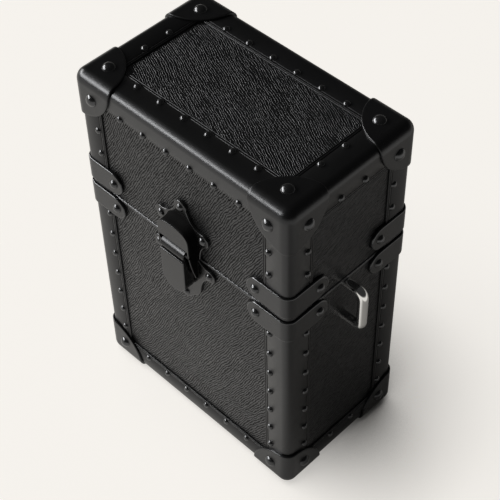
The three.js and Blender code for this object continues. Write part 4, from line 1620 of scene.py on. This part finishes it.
@dataclass
class Clasp:
    """The front clasp: two scalloped plates, the hood, the roll and flap, and what they close on.

    A place on a plate is its x and its height above the split, and an ear or tip has its radius as well.
    A place on the roll is its proudness of the strips' face and its height above the split.
    """

    plate_foot: float = -1.05
    plate_proud: float = 1.15
    plate_gap: float = 1.0
    plate_round: float = 0.6
    rivet: Head = Head(radius=3.3, height=2.1, sides=28, rings=8)
    upper_waist: float = 17.4
    upper_ear: tuple = (20.7, 22.5, 5.8)
    upper_ear_turn: tuple = (-70.0, 95.0)
    upper_tip: tuple = (0.0, 41.6, 5.9)
    upper_tip_turn: tuple = (-12.0, 90.0)
    lower_waist: float = 15.5
    lower_ear: tuple = (25.6, -11.0, 5.5)
    lower_ear_turn: tuple = (75.0, -95.0)
    lower_wave: tuple = (16.2, -31.6)
    wave_pull: tuple = (1.8, 1.4)
    lower_shoulder: tuple = (12.2, -41.2)
    shoulder_pull: tuple = (0.6, 3.4)
    lower_tip: tuple = (0.0, -49.2, 3.0)
    lower_tip_turn: tuple = (-45.0, -90.0)
    lower_rivet: tuple = (0.0, -46.5)
    hood_half: float = 15.5
    hood_start: float = 1.0
    hood_side_top: float = 17.0
    hood_top: float = 35.0
    hood_rim: float = 29.5
    hood_top_power: float = 2.4
    hood_rim_power: float = 3.0
    hood_proud: float = 9.9
    hood_round: float = 0.45
    hood_sink: float = 0.1
    arch_points: int = 30
    wall_steps: int = 8
    wall_lift: float = 0.8
    # Painted shade on the hood: at the wall's foot, and over the rounding of its rim from outside in
    painted_foot_shade: float = 0.9
    painted_rim_shade: tuple = (0.7, 0.2, 0.0, 0.0, 0.0)
    mouth_half: float = 12.2
    mouth_top: float = 13.2
    mouth_flare: float = 9.0
    mouth_lip: tuple = ((0.32, 0.0), (0.1, 0.1), (0.0, 0.35))
    cheek_thick: float = 1.5
    cheek_drop: float = 17.5
    cheek_end: float = 0.9
    cheek_proud: float = 4.3
    cheek_back: float = 2.05
    cheek_power: float = 1.7
    flap_half: float = 11.85
    flap_top: float = 1.0
    flap_corner: float = 0.5
    flap_straight: float = 24.0
    flap_drop: float = 35.5
    flap_proud: float = 11.8
    flap_back: float = 2.6
    flap_wall: float = 2.2
    flap_front: float = 2.4
    flap_round: float = 0.75
    flap_shift: float = -0.6
    wall_chamfer: float = 0.2
    floor_chamfer: float = 0.1
    roll_start: tuple = (8.6, 3.0)
    roll_low: tuple = (10.2, 3.3)
    roll_low_pull: tuple = (11.7, 3.4)
    roll_front: tuple = (11.6, 5.0)
    roll_front_pull: tuple = (10.9, 7.9)
    roll_high: tuple = (8.0, 9.9)
    roll_high_pull: tuple = (7.0, 10.5)
    roll_back: tuple = (6.4, 9.4)
    roll_chamfer: float = 0.45
    neck_inset: float = 0.3
    neck_sink: float = 2.0
    neck_low: float = 1.5
    neck_high: float = 4.0
    keeper_round: float = 0.4

    def build(self) -> None:
        """Makes the clasp's pieces and finishes its inner ones."""
        upper = front_plate(self._upper_outline(), self._plate_profile())
        add_piece("clasp_upper_plate_body", upper, CLASP_BLACK, Body.LID, ("clasp_upper_plate",))
        add_piece("clasp_hood", self._hood(), CLASP_BLACK, Body.LID)
        lower = front_plate(self._lower_outline(), self._plate_profile())
        add_piece("clasp_lower_plate_body", lower, CLASP_BLACK, Body.BASE, ("clasp_lower_plate",))
        add_piece("clasp_flap_body", self._flap(), CLASP_BLACK, Body.FLAP, ("clasp_flap",))
        upper_rivets = self._rivets(self.upper_ear, self.upper_tip)
        add_piece("clasp_upper_rivets", upper_rivets, NAIL_BLACK, Body.LID)
        lower_rivets = self._rivets(self.lower_ear, self.lower_rivet)
        add_piece("clasp_lower_rivets", lower_rivets, NAIL_BLACK, Body.BASE)
        refine_node("clasp_keeper", CLASP_BLACK, Body.BASE, self.keeper_round)
        finish_node("clasp_pin", CLASP_BLACK)
        finish_node("flap_spring", CLASP_BLACK)

    def _plate_profile(self) -> list:
        """A plate's profile from the cover to its face, with a rounded edge."""
        edge = [(by, self.plate_proud - down) for by, down in quarter(self.plate_round)]
        return [(0.0, self.plate_foot), *edge, (self.plate_round + FACE_STEP, self.plate_proud)]

    def _upper_outline(self) -> Array:
        """The upper plate: a waist at the split, an ear at each side and a round tip.

        Returns:
            The outline's points.
        """
        x, z, r = self.upper_ear
        waist, gap = self.upper_waist, self.plate_gap
        ear = arc(x, z, r, *self.upper_ear_turn)
        tip = arc(*self.upper_tip, *self.upper_tip_turn)
        to_ear = bend((waist, gap), (waist, (gap + z) / 2), ear[0])
        to_tip = bend(ear[-1], ((self.upper_tip[2] + x - r) / 2, z + r), tip[0])
        return mirrored(np.concatenate([to_ear, ear, to_tip, tip]))

    def _lower_outline(self) -> Array:
        """The lower plate: a waist, an ear at each side, a full lower half and a small round tip.

        Returns:
            The outline's points.
        """
        x, z, r = self.lower_ear
        waist, shoulder = self.lower_waist, self.lower_shoulder
        (wave_x, wave_z), (wave_out, wave_up) = self.lower_wave, self.wave_pull
        ear = arc(x, z, r, *self.lower_ear_turn)
        tip = arc(*self.lower_tip, *self.lower_tip_turn, count=10)
        to_ear = bend((waist, -self.plate_gap), (waist + (x - waist) / 3, z + r), ear[0])
        to_wave = bend(ear[-1], (wave_x + wave_out, z - wave_up * r), (wave_x, wave_z))
        pull = (wave_x - self.shoulder_pull[0], shoulder[1] + self.shoulder_pull[1])
        to_shoulder = bend((wave_x, wave_z), pull, shoulder)
        to_tip = np.linspace(shoulder, tip[0], num=6)
        return mirrored(np.concatenate([to_ear, ear, to_wave, to_shoulder, to_tip, tip]))

    def _rivets(self, ear: tuple, middle: tuple) -> Shape:
        """A plate's domed rivets.

        Args:
            ear: The place of the one in the right ear, which the left ear mirrors.
            middle: The place of the one between them.

        Returns:
            The shape.
        """
        shape = Shape()
        for side, place in ((1, ear), (-1, ear), (1, middle)):
            point = (side * place[0], -case.half_y - self.plate_proud, case.split + place[1])
            shape.join(self.rivet.on(point, (0, -1, 0)))
        return shape

    def _arch(self, top: float, power: float) -> Array:
        """The right half of the hood's outline over its sides, where (x/a)**n + (z/b)**n = 1.

        Args:
            top: Its height above the split.
            power: The power n.

        Returns:
            The points, from the side to the top.
        """
        turn = np.linspace(0, math.pi / 2, num=self.arch_points)
        x = self.hood_half * np.cos(turn) ** (2 / power)
        z = self.hood_side_top + (top - self.hood_side_top) * np.sin(turn) ** (2 / power)
        return np.stack([x, z], -1)

    def _hood(self) -> Shape:
        """The hood and its cheeks: one closed section carried from a cheek's foot over the top to the other.

        The section goes from the plate up the outer wall to the rim, across the front to the mouth and back
        inside. The rim's arch is lower than the outer one, so that the wall is a sunken slope there. The
        wall, its foot and the inside of the mouth carry painted shade.

        Returns:
            The shape.
        """
        cheek = np.linspace(-self.cheek_drop, self.cheek_end, num=14)
        wall = np.linspace(self.hood_start, self.hood_side_top, num=9)[:-1]
        side = np.concatenate([cheek, wall])
        sides = np.column_stack([np.full(len(side), self.hood_half), side])
        outer = np.concatenate([sides, self._arch(self.hood_top, self.hood_top_power)])
        rim = np.concatenate([sides, self._arch(self.hood_rim, self.hood_rim_power)])
        low = np.clip((self.mouth_top - outer[:, 1]) / (self.mouth_top + self.cheek_drop), 0, 1)
        proud = self.hood_proud - (self.hood_proud - self.cheek_proud) * low**self.cheek_power
        inside = self.hood_half - self.cheek_thick
        above = np.clip((rim[:, 1] - self.mouth_top) / (self.hood_side_top - self.mouth_top), 0, 1)
        mouth_x = np.where(rim[:, 1] < self.mouth_top, inside, inside + (self.mouth_half - inside) * above)
        narrowed = rim[:, 0] * self.mouth_half / self.hood_half
        mouth_x = np.minimum(mouth_x, narrowed + (1 - above) * self.mouth_flare)
        mouth = np.column_stack([mouth_x, np.minimum(rim[:, 1], self.mouth_top)])
        on_plate = outer[:, 1] >= self.hood_start
        back = np.where(on_plate, self.plate_proud - self.hood_sink, self.cheek_back)
        section, marks = self._hood_section(outer, rim, mouth, proud, back)
        whole = np.concatenate([section, section[-2::-1] * (-1, 1, 1)])
        shape = loft(whole)
        shape.marks = np.tile(marks, len(whole))
        return shape

    def _hood_section(self, outer: Array, rim: Array, mouth: Array, proud: Array, back: Array) -> tuple:
        """The hood's section at each step of its right half.

        The wall is a curve that leaves the plate towards the rim's place there and rises to the rim.

        Args:
            outer: The wall's foot, in x and height above the split.
            rim: The wall's upper edge.
            mouth: The edge of the mouth.
            proud: The proudness of the hood's front.
            back: The proudness of its back.

        Returns:
            The points in x, y and z, and the painted shade of each point of the section, from 0 to 1.
        """
        edge = self.hood_round
        tangent = np.gradient(rim, axis=0)
        tangent /= np.maximum(np.linalg.norm(tangent, axis=1, keepdims=True), TINY)
        inward = np.stack([-tangent[:, 1], tangent[:, 0]], -1)
        # The third number of a step is its painted shade: full on the wall and inside the mouth, fading over
        # the rim
        steps = [(outer, back, self.painted_foot_shade)]
        for t in np.linspace(0, 1, self.wall_steps + 1)[1:-1]:
            flat = (1 - t) ** 2 * outer + (1 - (1 - t) ** 2) * rim
            deep = (1 - t) ** 2 * back + 2 * t * (1 - t) * (back + self.wall_lift) + t**2 * (proud - edge)
            steps.append((flat, deep, 1.0))
        for (by, down), mark in zip(quarter(edge), self.painted_rim_shade):
            steps.append((rim + inward * by, proud - down, mark))
        steps.append((rim + inward * (edge + FACE_STEP), proud, 0.0))
        out = np.where(outer[:, 1] < self.mouth_top, 1.0, 0.0)[:, None] * (1.0, 0.0)
        steps += [(mouth + out * by, proud - down, 0.0) for by, down in self.mouth_lip]
        steps.append((mouth, back, 1.0))
        rows = [on_front(flat, deep) for flat, deep, _ in steps]
        return np.stack(rows, 1), np.array([mark for _, _, mark in steps])

    def _flap(self) -> Shape:
        """The flap with its recessed back, and the roll that it hangs on.

        Its sides end in half an ellipse, and its profile goes round the recess in its back, the foot and the
        face.

        Returns:
            The shape.
        """
        x, top, corner_round = self.flap_half, self.flap_top, self.flap_corner
        corner = arc(x - corner_round, top - corner_round, corner_round, 0, 90, count=5)
        turn = np.radians(np.linspace(-90, 0, num=28))
        fall = self.flap_drop - self.flap_straight
        round_end = np.column_stack([x * np.cos(turn), -self.flap_straight + fall * np.sin(turn)])
        side = np.linspace(round_end[-1], corner[0], num=5)
        outline = mirrored(np.concatenate([round_end, side, corner, [(0, top)]]))
        floor, wall, foot = self.flap_proud - self.flap_front, self.flap_wall, self.flap_back
        chamfer, small = self.wall_chamfer, self.floor_chamfer
        profile = [(wall + small, floor), (wall, floor - small), (wall, foot + chamfer)]
        profile += [(wall - chamfer, foot), (chamfer, foot), (0.0, foot + chamfer)]
        profile += [(by, self.flap_proud - down) for by, down in quarter(self.flap_round, steps=5)]
        profile += [(self.flap_round + FACE_STEP, self.flap_proud)]
        shape = front_plate(outline, profile).join(self._roll())
        shape.points[:, 0] += self.flap_shift
        return shape

    def _roll(self) -> Shape:
        """The bar that the flap hangs on, full and slanted to the front, and the neck under it.

        Returns:
            The shape.
        """
        foot = bend(self.roll_low, self.roll_low_pull, self.roll_front, count=6)
        face = bend(self.roll_front, self.roll_front_pull, self.roll_high, count=16)
        top = bend(self.roll_high, self.roll_high_pull, self.roll_back, count=6)
        section = distinct(np.concatenate([[self.roll_start], foot, face, top]))
        half, cut = self.flap_half, self.roll_chamfer
        ends = ((-half, cut), (-half + cut, 0.0), (half - cut, 0.0), (half, cut))
        bar = loft(np.array([self._slice(x, inset(section, by)) for x, by in ends]))
        back, front = self.roll_start[0], self.flap_proud - self.neck_sink
        low, high = self.flap_top - self.neck_low, self.neck_high
        neck = np.array([(back, high), (front, high), (front, low), (back, low)])
        sides = (-half + self.neck_inset, half - self.neck_inset)
        return bar.join(loft(np.array([self._slice(x, neck) for x in sides])))

    @staticmethod
    def _slice(x: float, section: Array) -> Array:
        """The points at an x of a section in proudness and height above the split."""
        return on_front(np.column_stack([np.full(len(section), x), section[:, 1]]), section[:, 0])


@dataclass
class Handles:
    """The bright round-rod handles on both sides of the base."""

    radius: float = 3.9
    reach: float = 14.0
    span: float = 36.0
    top: float = 7.6
    corner: float = 6.5
    sides: int = 40

    def build(self) -> None:
        """Makes both handles."""
        for name, side in (("handle_left", -1), ("handle_right", 1)):
            add_piece(f"{name}_rod", self._rod(side), CHROME, Body.BASE, (name,))

    def _rod(self, side: int) -> Shape:
        """A rod: circles square to the path out of the side, down and back in again.

        Args:
            side: 1 for the right, -1 for the left.

        Returns:
            The shape.
        """
        root, corner = case.half_x - case.strip_thick, self.corner
        out = case.half_x + self.reach
        high = case.split - self.top
        low = high - self.span
        path = np.concatenate(
            [
                np.linspace((root, high), (out - corner, high), num=6),
                bend((out - corner, high), (out, high), (out, high - corner))[1:],
                np.linspace((out, high - corner), (out, low + corner), num=8)[1:],
                bend((out, low + corner), (out, low), (out - corner, low))[1:],
                np.linspace((out - corner, low), (root, low), num=6)[1:],
            ]
        )
        tangent = np.gradient(path, axis=0)
        tangent /= np.linalg.norm(tangent, axis=1, keepdims=True)
        normal = np.stack([-tangent[:, 1], tangent[:, 0]], -1)
        turn = np.linspace(0, 2 * math.pi, self.sides, endpoint=False)
        flat = path[:, None, :] + self.radius * np.cos(turn)[None, :, None] * normal[:, None, :]
        depth = np.broadcast_to(self.radius * np.sin(turn), flat.shape[:2])
        return loft(np.stack([side * flat[..., 0], depth, flat[..., 1]], -1))


@dataclass
class Inside:
    """Hinge, trays, ledges, pull tabs, cushions and mirror."""

    leaf_round: float = 0.25
    tray_round: float = 0.6
    tray_segments: int = 3
    tab_round: float = 0.3
    ledge_round: float = 0.5
    frame_round: float = 0.3
    pad_swell: float = 0.012
    pad_foot: float = 0.97
    pad_angle: float = 80.0
    roll_count: int = 5
    roll_grid: tuple = (40, 80)
    crown: float = 9.0
    end_fall: float = 0.55
    dent: float = 0.03
    dent_waves: tuple = (9.0, 2.1, 5.0)
    pad_crown: float = 3.0
    pad_grid: tuple = (96, 48)
    channels: tuple = (-1 / 3, 1 / 3)
    channel_width: float = 0.03
    channel_depth: float = 0.45
    edge_power: int = 6

    def build(self) -> None:
        """Makes what shows when the trunk is open, and the hinge behind it."""
        refine_node("hinge_leaf_base", NAIL_BLACK, Body.BASE, self.leaf_round)
        refine_node("hinge_leaf_lid", NAIL_BLACK, Body.LID, self.leaf_round)
        finish_node("hinge_pin", NAIL_BLACK)
        refine_node("upper_tray", SUEDE, Body.UPPER_TRAY, self.tray_round, self.tray_segments)
        refine_node("lower_tray", SUEDE, Body.LOWER_TRAY, self.tray_round, self.tray_segments)
        for side in ("left", "right"):
            refine_node(f"upper_tray_tab_{side}", SMOOTH, Body.UPPER_TRAY, self.tab_round)
            refine_node(f"tray_ledge_{side}", SUEDE, Body.BASE, self.ledge_round)
        refine_node("mirror_frame", NAIL_BLACK, Body.LID, self.frame_round)
        finish_node("mirror", MIRROR)
        self._ring_cushion()
        self._well_pad()

    def _pad(self, name: str, node: str, body: Body, grid: tuple, crown: float, height: Callable) -> None:
        """Adds a padded form in its node's box, as a top and a drawn-in side over a flat bottom.

        Args:
            name: The piece's name.
            node: The node that it stands for.
            body: The body it rides on.
            grid: Faces along x and along y.
            crown: How far its top rises from its lowest place, in millimetres.
            height: The share of the crown at shares from -1 to 1 along x and y.
        """
        low, high = (np.array(corner) / MM - (0, case.middle_y, 0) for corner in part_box(node))
        columns, rows = grid[0] + 1, grid[1] + 1
        u, v = np.meshgrid(np.linspace(-1, 1, columns), np.linspace(-1, 1, rows), indexing="ij")
        middle, half = (low + high) / 2, (high - low) / 2
        foot_share = 1 - crown / (high[2] - low[2])
        rise = foot_share + (1 - foot_share) * height(u, v)
        swell = 1 - self.pad_swell * (1 - rise)
        top = [middle[0] + u * half[0] * swell, middle[1] + v * half[1] * swell, low[2] + rise * 2 * half[2]]
        foot = [middle[0] + u * half[0] * self.pad_foot, middle[1] + v * half[1] * self.pad_foot]
        foot.append(np.full(u.shape, low[2]))
        points = [np.stack(part, -1).reshape(-1, 3) for part in (top, foot)]
        count = columns * rows
        faces = [*grid_faces(columns, rows), *(grid_faces(columns, rows)[:, ::-1] + count)]
        number = np.arange(count).reshape(columns, rows)
        ring = np.concatenate([number[:-1, 0], number[-1, :-1], number[:0:-1, -1], number[0, :0:-1]])
        faces += [[a, b, b + count, a + count] for a, b in zip(ring, np.roll(ring, -1))]
        shape = Shape().add(np.concatenate(points), faces)
        piece = add_piece(name, shape, VELVET, body, (node,), angle=self.pad_angle)

    def _ring_cushion(self) -> None:
        """Adds five soft rolls side by side, with slits between them, fallen away at both ends."""

        def height(u: Array, v: Array) -> Array:
            """A half circle over each roll, drawn down towards the ends, with a few soft dents.

            Args:
                u: Shares along x.
                v: Shares along y.

            Returns:
                Shares of the crown.
            """
            across = (v + 1) / 2 * self.roll_count
            roll = np.sqrt(np.clip(1 - (2 * (across % 1) - 1) ** 2, 0, 1))
            roll[:, -1] = 0
            ends = 1 - self.end_fall * np.abs(u) ** self.edge_power
            fast, slant, slow = self.dent_waves
            dents = self.dent * np.sin(fast * u + slant * across) * np.cos(slow * u - across)
            return np.clip(roll * (ends + dents), 0, 1)

        self._pad("ring_cushion_rolls", "ring_cushion", Body.UPPER_TRAY, self.roll_grid, self.crown, height)

    def _well_pad(self) -> None:
        """Adds a low crowned pad, quilted by two shallow channels."""

        def height(u: Array, v: Array) -> Array:
            """A crown that falls to the edges, and a shallow channel at each third of the length.

            Args:
                u: Shares along x.
                v: Shares along y.

            Returns:
                Shares of the crown.
            """
            crown = (1 - np.abs(u) ** self.edge_power) * (1 - np.abs(v) ** self.edge_power)
            channel = sum(np.exp(-(((u - at) / self.channel_width) ** 2)) for at in self.channels)
            return np.clip(crown * (1 - self.channel_depth * channel), 0, 1)

        self._pad("well_pad_cushion", "well_pad", Body.BASE, self.pad_grid, self.pad_crown, height)


# Floor, light and camera


@dataclass
class Studio:
    """A pale floor, a large lamp overhead, a low wide window light, a dim room and the camera.

    A lamp is its azimuth, elevation, width and height in degrees, and its radiance. A fade is the azimuth
    that it goes towards in degrees, and its start and end in metres from the trunk. The fades shape a
    painted shadow in the floor's glow.
    """

    pale: tuple = (0.913, 0.888, 0.847)
    paper: tuple = (0.575, 0.560, 0.535)
    paper_roughness: float = 0.9
    fibre_size: float = 1 / 1200
    fibre_depth: float = 0.00002
    floor_radius: float = 40.0
    floor_sides: int = 64
    glow: float = 0.735
    # The painted shadow in the floor's glow: the reach and depth of its occlusion, and its fades for the
    # camera and in reflections
    glow_reach: float = 0.11
    painted_shadow_depth: float = 1.9
    glow_samples: int = 8
    painted_shadow_fades: tuple = (76.0, -0.05, 0.07)
    painted_reflection_fades: tuple = (45.0, -0.06, 0.10)
    reflected_returns: tuple = (0.0, 0.32, 0.50)
    reflected_glow: float = 0.78
    lamp_distance: float = 12.0
    lamp_colour: tuple = (1.0, 0.985, 0.965)
    overhead: tuple = (226.0, 71.0, 38.0, 38.0, 3.2)
    window: tuple = (212.0, 25.5, 54.0, 16.0, 14.0)
    room: tuple = (0.03, 0.03, 0.03)
    horizon: float = 0.2
    horizon_from: float = 4.0
    horizon_to: float = 14.0
    lens: float = 95.76
    sensor: float = 36.0
    far_clip: float = 200.0
    eye: tuple = (0.484163, -0.461369, 0.899949)
    forward: tuple = (-0.4791949, 0.46466143, -0.74462205)
    right: tuple = (0.71059735, 0.70335861, -0.01838652)

    def build(self) -> None:
        """Makes the floor, the light, the room and the camera, and sets how colours show.

        The overhead lamp stays out of reflections, where only the window's light is seen.
        """
        bpy.context.scene.view_settings.view_transform = "Standard"
        floor = self._floor()
        self._lamp("overhead", *self.overhead).visible_glossy = False
        self._spare(self._lamp("window", *self.window), floor)
        self._room()
        self._camera()

    def _floor(self) -> bpy.types.Object:
        """A round pale floor that takes shadows, and glows a little for the camera and in reflections, with
        a painted shadow in that glow.

        Returns:
            The floor.
        """
        turn = np.linspace(0, 2 * math.pi, self.floor_sides, endpoint=False)
        mesh = bpy.data.meshes.new("floor")
        rim = self.floor_radius * np.column_stack([np.cos(turn), np.sin(turn), 0 * turn])
        mesh.from_pydata(rim.tolist(), [], [list(range(len(turn)))])
        floor = bpy.data.objects.new("floor", mesh)
        bpy.context.scene.collection.objects.link(floor)
        nodes = Nodes.of_material("floor_paper")
        fibre = nodes.noise(nodes.place(), self.fibre_size)
        paper = nodes.finish(
            Base_Color=opaque(self.paper),
            Roughness=self.paper_roughness,
            Specular_IOR_Level=0.0,
            Normal=nodes.bump(fibre, self.fibre_depth),
            Emission_Color=opaque(self.pale),
            Emission_Strength=nodes.math("MULTIPLY", self._seen_glow(nodes), self.glow),
        )
        mesh.materials.append(paper)
        return floor

    def _seen_glow(self, nodes: Nodes) -> Socket:
        """How much of the floor's glow each ray sees.

        On the side away from the lamps the glow fades near the trunk, where ambient occlusion finds it
        hidden, as a painted shadow. In reflections a painted shadow takes away more of it on that side.

        Args:
            nodes: The floor's nodes.

        Returns:
            The share, which is 0 for rays that light things.
        """
        path = nodes.add("LightPath").outputs
        reach = {"Distance": self.glow_reach}
        bared = nodes.add("AmbientOcclusion", samples=self.glow_samples, inputs=reach).outputs["AO"]
        # Painted shadow: the glow that the camera sees is cut where the trunk hides the floor, on the side
        # away from the lamps
        hidden = nodes.math("MULTIPLY", nodes.math("SUBTRACT", 1.0, bared), self.painted_shadow_depth, clamp=True)
        shaded = nodes.math("MULTIPLY", hidden, self._fade(nodes, *self.painted_shadow_fades))
        seen = nodes.math("MULTIPLY", nodes.math("SUBTRACT", 1.0, shaded), path["Is Camera Ray"])
        # Painted shadow in reflections: glossy rays see less glow on the side away from the lamps
        returned = nodes.math("SUBTRACT", 1.0, self._fade(nodes, *self.reflected_returns))
        faded = nodes.math("MULTIPLY", self._fade(nodes, *self.painted_reflection_fades), returned)
        reflected = nodes.math("MULTIPLY", nodes.math("SUBTRACT", 1.0, faded), self.reflected_glow)
        mirrored_share = nodes.math("MAXIMUM", path["Is Glossy Ray"], path["Is Transmission Ray"])
        return nodes.math("MAXIMUM", seen, nodes.math("MULTIPLY", mirrored_share, reflected))

    @staticmethod
    def _fade(nodes: Nodes, azimuth: float, near: float, far: float) -> Socket:
        """A smooth step from 0 to 1 towards an azimuth.

        Args:
            nodes: The floor's nodes.
            azimuth: Where it goes, in degrees from +x towards +y.
            near: Where it starts, in metres from the trunk.
            far: Where it ends.

        Returns:
            The step.
        """
        turn = math.radians(azimuth)
        way = (math.cos(turn), math.sin(turn), 0.0)
        along = nodes.add("VectorMath", operation="DOT_PRODUCT", inputs={0: nodes.place(), 1: way})
        return nodes.ramp(along.outputs["Value"], near, far)

    @staticmethod
    def _spare(lamp: bpy.types.Object, floor: bpy.types.Object) -> None:
        """Keeps a low lamp's light off the floor, where its shadow would be too long.

        Args:
            lamp: The lamp.
            floor: The floor.
        """
        spared = bpy.data.collections.new("spared_by_" + lamp.name)
        spared.objects.link(floor)
        spared.collection_objects[0].light_linking.link_state = "EXCLUDE"
        lamp.light_linking.receiver_collection = spared

    def _lamp(
        self, name: str, azimuth: float, elevation: float, wide: float, high: float, radiance: float
    ) -> bpy.types.Object:
        """A far rectangle of light, so large and far that it lights the floor evenly.

        Args:
            name: The lamp's name.
            azimuth: Where its middle stands, in degrees from +x towards +y.
            elevation: How high its middle stands, in degrees.
            wide: How wide it looks from the trunk, in degrees.
            high: How high it looks from the trunk, in degrees.
            radiance: How bright its face is, where 1 is white.

        Returns:
            The lamp.
        """
        turn, rise = math.radians(azimuth), math.radians(elevation)
        way = Vector((math.cos(turn) * math.cos(rise), math.sin(turn) * math.cos(rise), math.sin(rise)))
        width = 2 * self.lamp_distance * math.tan(math.radians(wide / 2))
        height = 2 * self.lamp_distance * math.tan(math.radians(high / 2))
        light = bpy.data.lights.new(name, "AREA")
        light.shape = "RECTANGLE"
        light.size, light.size_y = width, height
        light.energy = radiance * math.pi * width * height
        light.color = self.lamp_colour
        lamp = bpy.data.objects.new(name, light)
        bpy.context.scene.collection.objects.link(lamp)
        lamp.location = way * self.lamp_distance
        lamp.rotation_euler = (-way).to_track_quat("-Z", "Y").to_euler()
        return lamp

    def _room(self) -> None:
        """Makes a dim room whose lowest part is pale, as the far floor and wall of a studio are."""
        world = bpy.data.worlds.new("room")
        bpy.context.scene.world = world
        nodes = Nodes(world, "Background")
        way = nodes.add("TexCoord").outputs["Generated"]
        rise = nodes.add("SeparateXYZ", inputs={0: way}).outputs["Z"]
        low, high = (math.sin(math.radians(angle)) for angle in (self.horizon_from, self.horizon_to))
        ground = tuple(self.horizon * c for c in self.pale)
        nodes.finish(Color=nodes.mix_colour(nodes.ramp(rise, low, high), ground, self.room))

    def _camera(self) -> None:
        """Makes the camera at the photograph's place, turned by its right and forward directions."""
        data = bpy.data.cameras.new("camera")
        data.lens, data.sensor_width = self.lens, self.sensor
        data.clip_end = self.far_clip
        camera = bpy.data.objects.new("camera", data)
        bpy.context.scene.collection.objects.link(camera)
        right, forward = Vector(self.right).normalized(), Vector(self.forward).normalized()
        up = right.cross(forward)
        turn = Matrix((right, up, -forward)).transposed()
        camera.matrix_world = Matrix.Translation(self.eye) @ turn.to_4x4()
        bpy.context.scene.camera = camera


def main() -> None:
    """Builds the trunk's pieces in order."""
    logging.basicConfig(level=logging.INFO, format="%(name)s %(message)s")
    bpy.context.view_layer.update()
    for part in (Studio(), Covers(), Strips(), Caps(), Bands(), Clasp(), Handles(), Inside()):
        log.info("building %s", type(part).__name__)
        part.build()


if __name__ == "__main__":
    main()
